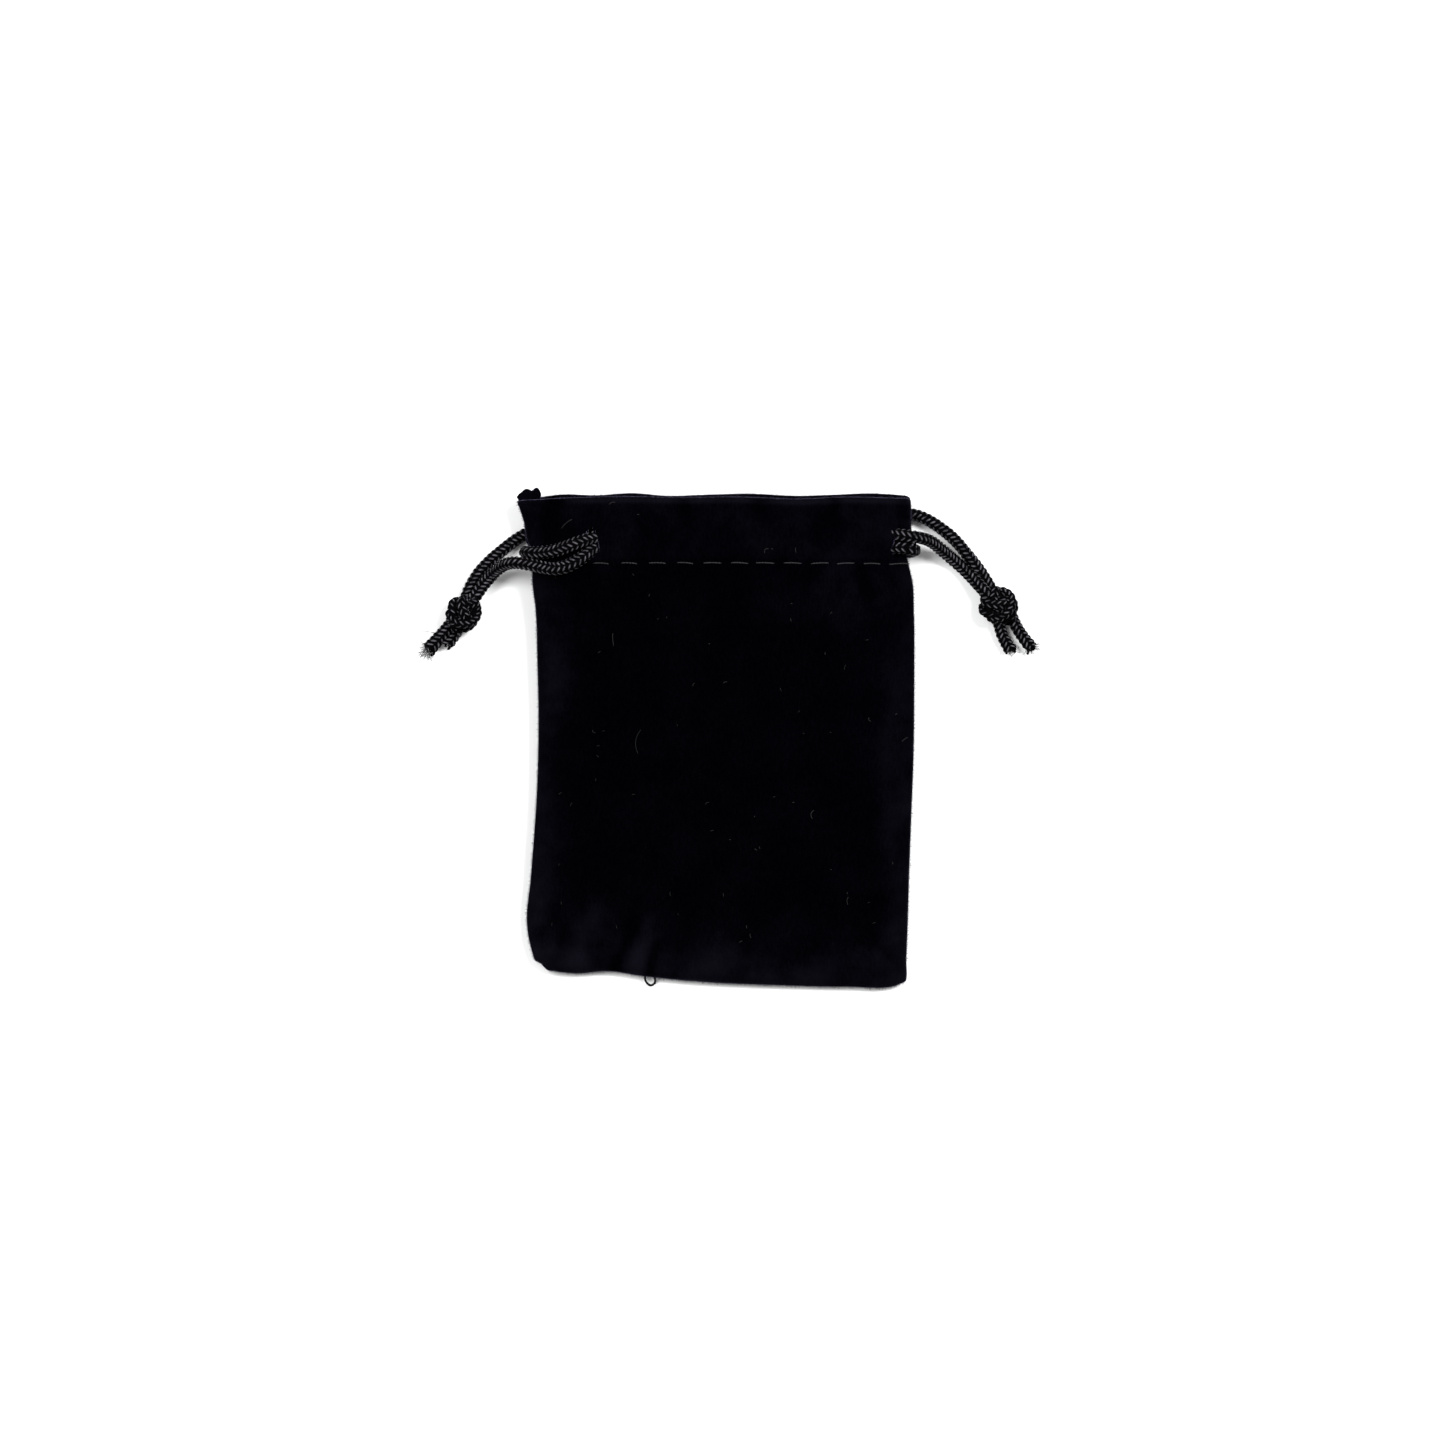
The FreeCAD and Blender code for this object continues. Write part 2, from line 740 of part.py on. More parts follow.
def knot(name):
    """A doubled overhand knot, as one rounded lump."""
    centre, (length, width, height), turned = KNOTS[name]
    lump = doc.addObject("Part::Ellipsoid", name)
    lump.Radius1 = height / 2
    lump.Radius2 = length / 2
    lump.Radius3 = width / 2
    lump.Placement = FreeCAD.Placement(centre, FreeCAD.Rotation(V(0, 0, 1), turned))
    node(lump, name)


def build():
    fill_sheet()
    front_panel()
    back_panel()
    side_fold()
    side_seam()
    bottom_seam()
    front_hem()
    back_hem()
    front_stitches()
    back_stitches()
    side_stitches()
    bottom_stitches()
    thread_loop()
    cord("left_cord", LEFT_CORD)
    knot("left_knot")
    cord("left_tail_front", LEFT_TAIL_FRONT)
    cord("left_tail_back", LEFT_TAIL_BACK)
    cord("right_cord", RIGHT_CORD)
    knot("right_knot")
    cord("right_tail_front", RIGHT_TAIL_FRONT)
    cord("right_tail_back", RIGHT_TAIL_BACK)
    doc.recompute()


def check_and_write():
    for thing in doc.Objects:
        if "Invalid" in thing.State or "Error" in thing.State:
            raise RuntimeError(f"{thing.Label} failed: {thing.State}")
    for thing in nodes:
        if thing.Shape.isNull() or not thing.Shape.isValid() or not thing.Shape.Solids:
            raise RuntimeError(f"{thing.Label} has no valid solid")
    os.makedirs("parts", exist_ok=True)
    for thing in nodes:
        thing.Shape.exportStep(f"parts/{thing.Label}.step")
        box = thing.Shape.BoundBox
        print(
            f"{thing.Label}: {len(thing.Shape.Solids)} solid(s), {thing.Shape.Volume:.1f} mm3,"
            f" X {box.XMin:.2f} {box.XMax:.2f} Y {box.YMin:.2f} {box.YMax:.2f}"
            f" Z {box.ZMin:.2f} {box.ZMax:.2f}"
        )


build()
check_and_write()
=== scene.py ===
import bpy
import math
import numpy as np
from mathutils import Matrix, Vector, noise


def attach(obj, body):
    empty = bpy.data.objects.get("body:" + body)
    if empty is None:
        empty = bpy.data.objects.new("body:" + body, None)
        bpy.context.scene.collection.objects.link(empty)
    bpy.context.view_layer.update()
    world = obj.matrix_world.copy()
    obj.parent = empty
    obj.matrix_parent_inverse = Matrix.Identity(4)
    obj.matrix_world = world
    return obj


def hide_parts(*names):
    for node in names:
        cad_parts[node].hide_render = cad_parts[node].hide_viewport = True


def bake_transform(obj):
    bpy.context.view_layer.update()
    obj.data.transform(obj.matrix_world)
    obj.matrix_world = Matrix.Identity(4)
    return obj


# A drawstring dice bag of black velvet, lying on its back and seen from straight above. The
# shapes are worked out in millimetres in the part's frame and turned into metres when a mesh
# is made. X runs to the right, Y towards the mouth and Z up.

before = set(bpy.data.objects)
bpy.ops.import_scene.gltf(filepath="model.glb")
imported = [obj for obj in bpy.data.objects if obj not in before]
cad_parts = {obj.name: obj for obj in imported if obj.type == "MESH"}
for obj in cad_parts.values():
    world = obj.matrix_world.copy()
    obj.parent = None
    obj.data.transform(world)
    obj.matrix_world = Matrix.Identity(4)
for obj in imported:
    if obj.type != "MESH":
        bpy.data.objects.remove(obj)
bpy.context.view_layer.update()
MM = 0.001
RNG = np.random.default_rng(7)

# ---------------------------------------------------------------- sizes, in millimetres

CLOTH = 0.7                   # the velvet, pile and all
ROLL = 1.8                    # how far in an edge starts to turn down
SEAM_GAP = 0.36               # from the seam's middle to the middle of either cloth
TUCK = 1.5                    # how far the cloth goes in past a seam
FOLD = 0.44                   # radius of the turn at the mouth, at the cloth's middle
STITCH_LINE = 32.2            # how far up the bag the casing's stitches lie
STITCH_PITCH, STITCH_SHOWN = 5.0, 3.8
CHANNEL_LOW, CHANNEL_HIGH = 33.9, 42.6     # where the hem lies furthest inside, for the cords
HEM_CLOSED, HEM_OPEN = 0.84, 3.6   # from the cloth's middle to the hem's middle
CELL = 0.62                   # width of the mesh's cells

CORD_RADIUS = 1.27
STRANDS = 6                   # strands that run each way round a cord
BRAID_TURN = 5.6              # a strand goes once round the cord in this length
BRAID_STEP = 0.2
STRAND_HALF_WIDTH, STRAND_HALF_DEPTH = 0.3, 0.23
BRAID_WEAVE = 0.2             # how far a strand rises and dips as it crosses the others
THREAD_RADIUS = 0.12

# The cloth's outline and heights, each a smooth curve through a few places.
LEFT_EDGE = [(-46, -33.2), (-41.3, -33.6), (-37.4, -34.6), (-33.7, -35.0), (-26.3, -34.3),
             (-18.8, -33.7), (-9.6, -33.1), (5.3, -32.8), (14.6, -33.0), (23.9, -33.3),
             (29.4, -33.9), (32.0, -33.9), (34.4, -34.0), (36.8, -34.9), (39.5, -35.3),
             (42.4, -36.2), (44.3, -36.9), (46, -37)]
RIGHT_EDGE = [(-46, 35.1), (-44.7, 35.4), (-41.1, 35.4), (-35.6, 35.6), (-24.4, 35.9),
              (-13.3, 36.3), (-2.1, 36.7), (9.0, 36.8), (23.9, 36.7), (28.5, 36.5),
              (32.6, 35.6), (34.8, 35.2), (37.2, 36.0), (39.6, 36.2), (44.3, 36.1), (46, 36.0)]
BOTTOM_EDGE = [(-36, -41.4), (-33.4, -41.5), (-32.2, -41.7), (-31.4, -42.8), (-29.8, -43.2),
               (-26.1, -43.6), (-20.0, -43.2), (-13.5, -44.1), (-2.1, -45.2), (11.2, -45.8),
               (24.6, -46.1), (33.6, -45.8), (35.6, -45.0)]
FRONT_TOP = [(-37, 44.0), (-33, 44.1), (-26, 44.4), (-15.5, 44.5), (-6, 44.3), (3, 44.4),
             (15.7, 44.1), (24, 44.5), (33, 44.4), (36.4, 44.4)]
BACK_TOP = [(-37, 44.2), (-33, 44.6), (-28.9, 45.2), (-22, 45.1), (-15.5, 45.5), (-9, 45.0),
            (-2.1, 45.2), (6, 45.4), (15.7, 45.0), (22, 45.2), (29.1, 45.4), (33.5, 45.1),
            (36.4, 44.8)]
EDGE_LOW = [(-46.3, 0.15), (-40, 0.5), (-28, 1.3), (-8, 2.0), (9, 2.3), (21, 2.6), (29, 3.0),
            (36, 3.0), (46, 3.0)]
EDGE_HIGH = [(-46.3, 3.05), (-40, 3.5), (-28, 4.3), (-8, 5.0), (9, 5.4), (21, 6.1), (29, 6.9),
             (36, 6.9), (46, 6.9)]
CROWN = [(-46.3, 3.25), (-40, 4.0), (-28, 7.4), (-8, 9.7), (9, 10.2), (21, 11.4), (29, 13.3),
         (36, 13.3), (46, 13.3)]
BACK_FLAT = 20.0              # half the width of the flat part of the back

# How far open the casing is across the bag: 0 where it is pressed flat, 1 for one cord's room.
FRONT_ROOM = [(-38, 0), (-28.6, 0), (-22.5, 1), (20, 1), (27, 1), (30, 0.7), (33.4, 0), (37, 0)]
BACK_ROOM = [(-38, 0), (-32.4, 0), (-29.5, 0.45), (-26, 0.93), (-20, 1), (4, 1), (11.4, 1.86),
             (18.5, 1.86), (26, 1), (29.5, 0.45), (33, 0), (37, 0)]

# The slits, at the left and right of the front and then of the back: the layer, the line of the
# cut across the bag, its ends along the bag, how far each lip stands back, and how far it rises.
SLITS = [
    (1, -22.7, (33.9, 38.8), (1.6, 0.9), (-1.0, 0.8)),
    (1, 33.3, (33.7, 39.0), (0.5, 0.2), (1.5, -0.7)),
    (-1, -29.2, (33.0, 40.1), (2.6, 3.4), (0.0, 0.0)),
    (-1, 29.6, (33.0, 42.8), (3.4, 3.0), (0.0, 0.0)),
]

# Wrinkles in the front: each runs from one place to another, with a half-width and a height.
WRINKLES = [
    ((-18.5, -42.5), (-15.2, -34.5), 1.3, -0.6), ((-25.5, -41.5), (-22.0, -31.0), 1.7, 0.4),
    ((-14.8, -42.0), (-12.2, -33.8), 1.4, 0.6), ((-12.5, -43.5), (-11.0, -38.0), 1.0, -0.45),
    ((-30.5, -42.0), (-27.5, -35.0), 1.1, -0.3), ((-33.0, -37.5), (-29.5, -33.0), 1.2, -0.15),
    ((-5.0, -44.0), (3.0, -39.5), 1.8, 0.25), ((33.5, -40.0), (29.0, -36.5), 1.5, -0.25),
    ((-30.0, 5.0), (-29.0, 22.0), 2.6, 0.25), ((31.5, -20.0), (32.5, 15.0), 2.2, 0.2),
    ((-14.0, 31.0), (-12.5, 24.0), 1.2, -0.3), ((2.0, 31.0), (3.5, 22.5), 1.4, -0.28),
    ((17.5, 31.0), (16.0, 25.0), 1.2, -0.25), ((26.5, 31.0), (29.0, 23.5), 1.2, -0.3),
    ((-24.0, 31.0), (-25.0, 23.0), 1.2, -0.3), ((-6.0, 43.5), (-5.0, 40.0), 1.3, -0.25),
    ((8.0, 43.5), (9.0, 40.5), 1.5, -0.25), ((22.0, 43.5), (21.0, 40.0), 1.3, -0.25),
    ((-29.5, 43.5), (-31.0, 37.0), 1.5, -0.45), ((34.5, 43.5), (34.0, 38.5), 1.2, -0.3),
]

# ---------------------------------------------------------------- the cords' routes

# Each cord leaves its knot over the front, goes through the front casing, round the far edge
# of the bag, and back through the back casing to the knot.
LEFT_CORD = [
    (-46.5, 23.7, 3.9), (-45.6, 24.9, 3.5), (-44.3, 26.4, 3.3), (-43.3, 28.1, 2.9),
    (-42.0, 29.6, 2.7), (-40.6, 31.1, 3.3), (-39.0, 32.2, 5.4), (-37.2, 32.5, 7.5),
    (-35.0, 32.2, 8.5), (-32.0, 31.5, 9.1), (-28.8, 31.1, 10.2), (-25.4, 32.5, 10.8),
    (-22.4, 35.1, 9.4), (-19.0, 35.3, 8.75), (-12.5, 35.3, 10.25), (-3.0, 35.2, 11.15),
    (9.0, 35.1, 10.95), (20.0, 35.1, 9.2), (27.2, 35.2, 7.15), (31.0, 35.2, 6.8),
    (34.0, 35.3, 8.0), (35.9, 35.0, 8.0), (37.1, 34.8, 4.9), (35.7, 34.5, 1.45),
    (33.2, 34.7, 1.3), (29.4, 34.8, 1.9), (25.6, 34.9, 2.7), (21.4, 34.9, 3.4), (17.8, 35.2, 4.6),
    (13.9, 37.4, 4.68), (10.2, 38.6, 3.4), (6.0, 38.8, 2.3), (-2.0, 38.6, 2.05),
    (-15.0, 38.1, 2.1), (-25.4, 37.9, 2.45), (-30.0, 38.4, 1.8), (-34.0, 38.6, 1.28),
    (-37.0, 36.9, 1.28), (-39.4, 35.0, 1.28), (-41.8, 33.0, 1.28), (-43.8, 30.9, 1.28),
    (-45.3, 28.5, 1.28), (-46.1, 26.5, 1.3), (-46.5, 25.0, 1.4), (-46.8, 23.6, 1.5),
]

RIGHT_CORD = [
    (51.8, 25.2, 4.0), (50.6, 26.4, 3.7), (49.2, 27.9, 3.0), (47.8, 29.6, 2.0), (46.0, 31.5, 1.5),
    (43.9, 33.3, 1.6), (41.9, 34.9, 3.1), (39.7, 36.6, 5.5), (37.3, 37.1, 7.9), (34.6, 37.4, 8.4),
    (31.4, 37.6, 7.0), (27.4, 38.0, 7.15), (20.0, 37.9, 9.2), (9.0, 37.8, 10.95),
    (-3.0, 37.8, 11.15), (-12.5, 37.9, 10.25), (-18.6, 37.8, 8.8), (-22.4, 37.0, 9.9),
    (-25.8, 35.9, 11.0), (-29.4, 34.5, 10.1), (-32.2, 34.2, 9.0), (-34.3, 34.2, 8.1),
    (-35.4, 34.4, 4.9), (-34.2, 34.6, 1.5), (-31.8, 34.7, 1.35), (-28.6, 34.8, 2.2),
    (-23.6, 35.0, 2.5), (-13.6, 35.2, 2.05), (-3.0, 35.3, 2.05), (4.6, 35.2, 2.05),
    (10.6, 35.1, 2.04), (14.4, 36.0, 2.03), (18.0, 38.0, 2.04), (22.2, 38.9, 2.2),
    (26.4, 39.6, 2.35), (30.4, 40.6, 1.6), (33.8, 41.4, 1.28), (36.8, 41.6, 1.28),
    (39.4, 40.6, 1.28), (41.8, 39.0, 1.28), (44.2, 37.1, 1.28), (46.3, 34.6, 1.28),
    (48.4, 31.9, 1.28), (50.1, 29.4, 1.28), (51.4, 27.0, 1.3), (52.4, 25.2, 1.4),
]

# The ends below the knots.
ENDS = {
    "left_end_front": [(-47.1, 23.5, 2.4), (-48.9, 21.4, 1.8), (-50.8, 19.0, 1.5),
                       (-53.5, 16.2, 1.3)],
    "left_end_back": [(-46.6, 23.0, 2.2), (-47.6, 20.4, 1.4), (-49.2, 18.1, 1.3),
                      (-50.2, 17.2, 1.3)],
    "right_end_front": [(52.0, 23.6, 2.2), (52.6, 21.2, 1.6), (53.3, 18.6, 1.3), (55.1, 15.7, 1.3)],
    "right_end_back": [(54.4, 24.0, 2.2), (55.2, 21.8, 1.6), (56.7, 19.1, 1.3), (58.9, 16.4, 1.3)],
}

# ---------------------------------------------------------------- helpers


def smooth(table, at):
    """A smooth curve through a table's places, read at other places."""
    places, values = np.array(table, float).T
    slopes = np.gradient(values, places)
    at = np.clip(at, places[0], places[-1])
    i = np.clip(np.searchsorted(places, at) - 1, 0, len(places) - 2)
    span = places[i + 1] - places[i]
    t = (at - places[i]) / span
    return ((1 + 2 * t) * (1 - t) ** 2 * values[i] + t * (1 - t) ** 2 * span * slopes[i]
            + t * t * (3 - 2 * t) * values[i + 1] + t * t * (t - 1) * span * slopes[i + 1])


def ramp(value, start, stop):
    """0 before start, 1 after stop, and smooth between."""
    t = np.clip((value - start) / (stop - start), 0, 1)
    return t * t * (3 - 2 * t)


def bell(distance, reach):
    """1 at no distance, and down to a third at reach."""
    return np.exp(-((distance / reach) ** 2))


SEED_SHIFT = (17.3, 5.1, 9.7)              # from where one seed's noise is read to the next


def noise_field(points, scale, seed):
    """Smooth noise from -1 to 1 at each point, with features about scale millimetres wide."""
    shift = Vector([seed * each for each in SEED_SHIFT])
    flat = points.reshape(-1, 3) / scale
    values = [noise.noise(Vector(point) + shift) for point in flat]
    return np.array(values).reshape(points.shape[:-1])


def travelled(points):
    """The distance along a line from its first point to each of its points."""
    return np.concatenate([[0], np.cumsum(np.linalg.norm(np.diff(points, axis=0), axis=1))])


def stacked(*parts):
    """Points from their three coordinates."""
    return np.stack(np.broadcast_arrays(*parts), axis=-1)


def unit(vectors):
    return vectors / np.maximum(np.linalg.norm(vectors, axis=-1, keepdims=True), 1e-9)


def linked(name, data):
    """A new object in the scene."""
    obj = bpy.data.objects.new(name, data)
    bpy.context.scene.collection.objects.link(obj)
    return obj


def make_object(name, points, faces, material, **read):
    """A smooth-shaded mesh. read has what the material reads by name at each point, which is a
    number or a vector."""
    mesh = bpy.data.meshes.new(name)
    mesh.from_pydata((points * MM).tolist(), [], faces)
    mesh.polygons.foreach_set("use_smooth", [True] * len(mesh.polygons))
    for key, values in read.items():
        kind, field = ("FLOAT", "value") if values.ndim == 1 else ("FLOAT_VECTOR", "vector")
        attribute = mesh.attributes.new(key, kind, "POINT")
        attribute.data.foreach_set(field, values.astype(np.float32).ravel())
    mesh.materials.append(material)
    mesh.update()
    return linked(name, mesh)


GRAIN_SHIFT = 0.37            # each tube's grain starts further on by this for each point


class Strands:
    """Tubes that end up in one mesh. A material reads grain as the way along and round a tube,
    and crown as how far it stands out, which the braid's material paints as a highlight."""

    def __init__(self):
        self.points, self.faces, self.grain, self.crown, self.count = [], [], [], [], 0

    def tube(self, centres, across, out, half_width, half_depth, sides=6, crown=1.0):
        """An oval tube round centres. across and out are unit vectors at each centre. crown
        says how far each centre stands out of a braid: the tube's outer side shows it as a painted
        highlight."""
        rings = len(centres)
        turn = math.pi / 2 + np.arange(sides) / sides * 2 * math.pi
        wide = np.broadcast_to(half_width, rings)[:, None, None]
        deep = np.broadcast_to(half_depth, rings)[:, None, None]
        ring = (centres[:, None] + wide * np.cos(turn)[None, :, None] * across[:, None]
                + deep * np.sin(turn)[None, :, None] * out[:, None])
        along = travelled(centres) + self.count * GRAIN_SHIFT
        grain = stacked(along[:, None], np.cos(turn)[None, :], np.sin(turn)[None, :])
        first = self.count + np.arange(rings - 1)[:, None] * sides
        this, following = np.arange(sides), (np.arange(sides) + 1) % sides
        quads = np.stack([first + this, first + following, first + sides + following,
                          first + sides + this], axis=-1).reshape(-1, 4)
        self.faces += quads.tolist()
        self.faces.append(list(range(self.count + sides - 1, self.count - 1, -1)))
        last = self.count + (rings - 1) * sides
        self.faces.append(list(range(last, last + sides)))
        self.points.append(ring.reshape(-1, 3))
        self.grain.append(grain.reshape(-1, 3))
        # The painted highlight is strongest on the tube's outer side.
        outer = np.clip(np.sin(turn), 0, 1)[None, :] ** 2
        self.crown.append((np.broadcast_to(crown, rings)[:, None] * outer).ravel())
        self.count += rings * sides

    def thread(self, centres, radius, sides=5):
        """A round tube along centres, thinner at its ends when radius is a list."""
        lay = Lay(centres)
        self.tube(lay.points, lay.side, lay.up, radius, radius, sides)

    def build(self, name, material):
        return make_object(name, np.concatenate(self.points), self.faces, material,
                           grain=np.concatenate(self.grain), crown=np.concatenate(self.crown))


class Lay:
    """A line in millimetres, with its directions, which don't twist about it."""

    def __init__(self, points):
        self.points = np.asarray(points, float)
        self.along = travelled(self.points)
        self.tangent = unit(np.gradient(self.points, axis=0))
        side = np.zeros_like(self.points)
        start = np.cross(self.tangent[0], (0, 0, 1.0))
        if np.linalg.norm(start) < 0.1:
            start = np.cross(self.tangent[0], (0, 1.0, 0))
        side[0] = unit(start)
        for i in range(1, len(side)):
            kept = side[i - 1] - self.tangent[i] * (side[i - 1] @ self.tangent[i])
            side[i] = kept / np.linalg.norm(kept)
        self.side, self.up = side, np.cross(side, self.tangent)


def resampled(points, step):
    """The same line with its points evenly spaced."""
    along = travelled(points)
    places = np.linspace(0, along[-1], max(int(along[-1] / step), 2) + 1)
    return np.stack([np.interp(places, along, points[:, axis]) for axis in range(3)], axis=1)


def spline_line(points):
    """The points of a smooth line that a few points steer."""
    curve = bpy.data.curves.new("steered", "CURVE")
    curve.dimensions = "3D"
    spline = curve.splines.new("NURBS")
    spline.points.add(len(points) - 1)
    for place, point in zip(spline.points, np.asarray(points) * MM):
        place.co = (*point, 1)
    spline.order_u = 3
    spline.use_endpoint_u = True
    spline.resolution_u = 12
    holder = bpy.data.objects.new("steered", curve)
    mesh = bpy.data.meshes.new_from_object(holder)
    line = np.array([vertex.co for vertex in mesh.vertices]) / MM
    bpy.data.objects.remove(holder)
    bpy.data.meshes.remove(mesh)
    bpy.data.curves.remove(curve)
    return line


def cord_line(points, step=BRAID_STEP):
    """A smooth line with its points evenly spaced."""
    return resampled(spline_line(points), step)


# ---------------------------------------------------------------- materials


def new_material(name, **sockets):
    """A material, its nodes and its shader, with the shader's plain values set."""
    material = bpy.data.materials.new(name)
    material.use_nodes = True
    nodes = material.node_tree.nodes
    shader = next(n for n in nodes if n.type == "BSDF_PRINCIPLED")
    for socket, value in sockets.items():
        shader.inputs[socket.replace("_", " ")].default_value = value
    return material, material.node_tree, shader


def add(tree, kind, inputs=None, **settings):
    """A node, with its inputs by name or number, each a value or another node's output."""
    node = tree.nodes.new(kind)
    for name, value in settings.items():
        setattr(node, name, value)
    for key, value in (inputs or {}).items():
        if isinstance(value, bpy.types.NodeSocket):
            tree.links.new(value, node.inputs[key])
        else:
            node.inputs[key].default_value = value
    return node


def carried(tree, name, output="Fac"):
    """What the mesh carries at each point under a name."""
    return add(tree, "ShaderNodeAttribute", attribute_name=name).outputs[output]


def scaled_place(tree, scale, attribute=None):
    """The object's own coordinates, or what the mesh carries under a name, stretched."""
    source = (carried(tree, attribute, "Vector") if attribute
              else add(tree, "ShaderNodeTexCoord").outputs["Object"])
    return add(tree, "ShaderNodeMapping", {"Vector": source, "Scale": scale}).outputs["Vector"]


def noise_at(tree, place, scale, detail=2.0, roughness=0.55):
    return add(tree, "ShaderNodeTexNoise", {"Vector": place, "Scale": scale, "Detail": detail,
                                            "Roughness": roughness}).outputs["Fac"]


def blended(tree, low, high, amount, start=0.0, stop=1.0):
    """A colour from low to high as amount goes from start to stop."""
    spread = add(tree, "ShaderNodeMapRange",
                 {"Value": amount, "From Min": start, "From Max": stop},
                 interpolation_type="SMOOTHSTEP")
    low, high = ((*each, 1) if isinstance(each, tuple) else each for each in (low, high))
    return add(tree, "ShaderNodeMix", {0: spread.outputs[0], 6: low, 7: high},
               data_type="RGBA").outputs[2]


def bumped(tree, shader, height, distance, strength):
    bump = add(tree, "ShaderNodeBump",
               {"Height": height, "Distance": distance * MM, "Strength": strength})
    tree.links.new(bump.outputs["Normal"], shader.inputs["Normal"])


def summed(tree, first, second, share):
    """first plus share times second."""
    return add(tree, "ShaderNodeMath", {0: second, 1: share, 2: first},
               operation="MULTIPLY_ADD").outputs[0]


def velvet_material():
    """Short black pile: almost no light comes back from straight on. Its colour is painted lighter,
    as sheen, at the edges and along the casing, and carries painted highlight and shade on the
    wrinkles."""
    material, tree, shader = new_material(
        "black_velvet", Roughness=0.95, Specular_IOR_Level=0.004, Sheen_Weight=0.22,
        Sheen_Roughness=0.23, Sheen_Tint=(0.68, 0.6, 1.0, 1.0))
    place = scaled_place(tree, (1, 1, 1))
    tufts = noise_at(tree, place, 4200.0)
    rows = noise_at(tree, scaled_place(tree, (2600, 900, 900)), 1.0)
    # The mesh's painted sheen, with the pile's random tufts and rows, sets how light the colour is.
    pile = summed(tree, carried(tree, "brushed"), summed(tree, tufts, rows, 1.0), 0.55)
    colour = blended(tree, (0.0, 0.0, 0.00036), (0.0030, 0.0026, 0.0046), pile, 0.4, 1.75)
    tree.links.new(colour, shader.inputs["Base Color"])
    bumped(tree, shader, summed(tree, tufts, rows, 0.5), 0.2, 0.7)
    return material


def cord_material():
    """Shiny black filament yarn, with fine fibres along each strand. A strand's colour has a
    painted highlight where it lies on top of the others, and is painted black, as shade, where it
    goes down between them."""
    material, tree, shader = new_material("black_braid", Specular_IOR_Level=0.03)
    fibres = noise_at(tree, scaled_place(tree, (0.9, 5.5, 5.5), "grain"), 1.0, 2.0, 0.6)
    patches = noise_at(tree, scaled_place(tree, (1, 1, 1)), 1300.0)
    crown = carried(tree, "crown")
    yarn = blended(tree, (0.010, 0.0095, 0.0125), (0.104, 0.099, 0.112),
                   summed(tree, fibres, patches, 1.3), 0.8, 1.5)
    # Painted highlight on the strands' tops, painted black shade between them.
    colour = blended(tree, (0.0002, 0.00015, 0.0004), yarn, crown, 0.43, 0.78)
    tree.links.new(colour, shader.inputs["Base Color"])
    gloss = add(tree, "ShaderNodeMapRange", {"Value": crown, "To Min": 0.9, "To Max": 0.36})
    tree.links.new(gloss.outputs[0], shader.inputs["Roughness"])
    bumped(tree, shader, fibres, 0.06, 0.9)
    return material


def thread_material(name, low, high, gloss):
    """Polyester sewing thread: charcoal where it shows up on the velvet, black in the seams."""
    material, tree, shader = new_material(name, Roughness=0.5, Specular_IOR_Level=gloss)
    fibres = noise_at(tree, scaled_place(tree, (2.0, 4.0, 4.0), "grain"), 1.0)
    colour = blended(tree, low, high, fibres, 0.3, 0.75)
    tree.links.new(colour, shader.inputs["Base Color"])
    bumped(tree, shader, fibres, 0.03, 0.6)
    return material


def speckled_material(name, low, high, noise_scale, detail, spread, **sockets):
    """A dull material that wanders between two colours. spread is the part of the noise over
    which it goes from one to the other."""
    material, tree, shader = new_material(name, **sockets)
    speckle = noise_at(tree, scaled_place(tree, (1, 1, 1)), noise_scale, detail)
    tree.links.new(blended(tree, low, high, speckle, *spread), shader.inputs["Base Color"])
    return material


VELVET = velvet_material()
BRAID = cord_material()
# The dull inside of the cord is seen only between its strands.
CORE = speckled_material("cord_core", (0.0002, 0.0002, 0.0004), (0.0014, 0.0013, 0.002), 2500.0,
                         2.0, (0.3, 0.8), Roughness=0.9, Specular_IOR_Level=0.02)
THREAD = thread_material("sewing_thread", (0.004, 0.004, 0.005), (0.016, 0.0155, 0.018), 0.35)
BLACK_THREAD = thread_material("seam_thread", (0.0003, 0.0003, 0.0006), (0.001, 0.001, 0.0016),
                               0.02)
LINT = speckled_material("lint", (0.010, 0.012, 0.010), (0.024, 0.022, 0.022), 60.0, 1.0,
                         (0.4, 0.6), Roughness=0.8, Specular_IOR_Level=0.1)
FLOOR = speckled_material("white_floor", (0.93, 0.935, 0.94), (0.95, 0.95, 0.95), 8.0, 1.0,
                          (0.0, 1.0), Roughness=0.7, Specular_IOR_Level=0.1)

# ---------------------------------------------------------------- camera, light and floor

VIEW_CENTRE = (0.84, 3.4)     # where the camera looks, in millimetres
VIEW_WIDTH = 267.4            # what it sees across, at the floor
LENS, SENSOR = 150.0, 36.0
FLOOR_SIZE, FLOOR_DROP = 6.0, 0.03         # in metres, and in millimetres
SKY = 0.44                    # how bright the white all round is


def make_camera():
    data = bpy.data.cameras.new("camera")
    data.lens, data.sensor_width, data.clip_end = LENS, SENSOR, 10.0
    camera = linked("camera", data)
    camera.location = Vector((*VIEW_CENTRE, VIEW_WIDTH * LENS / SENSOR)) * MM
    bpy.context.scene.camera = camera


def area_light(name, place, size, power):
    """A round light that is turned to the bag. place and size are in metres."""
    data = bpy.data.lights.new(name, "AREA")
    data.shape, data.size, data.energy = "DISK", size, power
    light = linked(name, data)
    light.location = place
    light.rotation_euler = (-light.location).to_track_quat("-Z", "Y").to_euler()


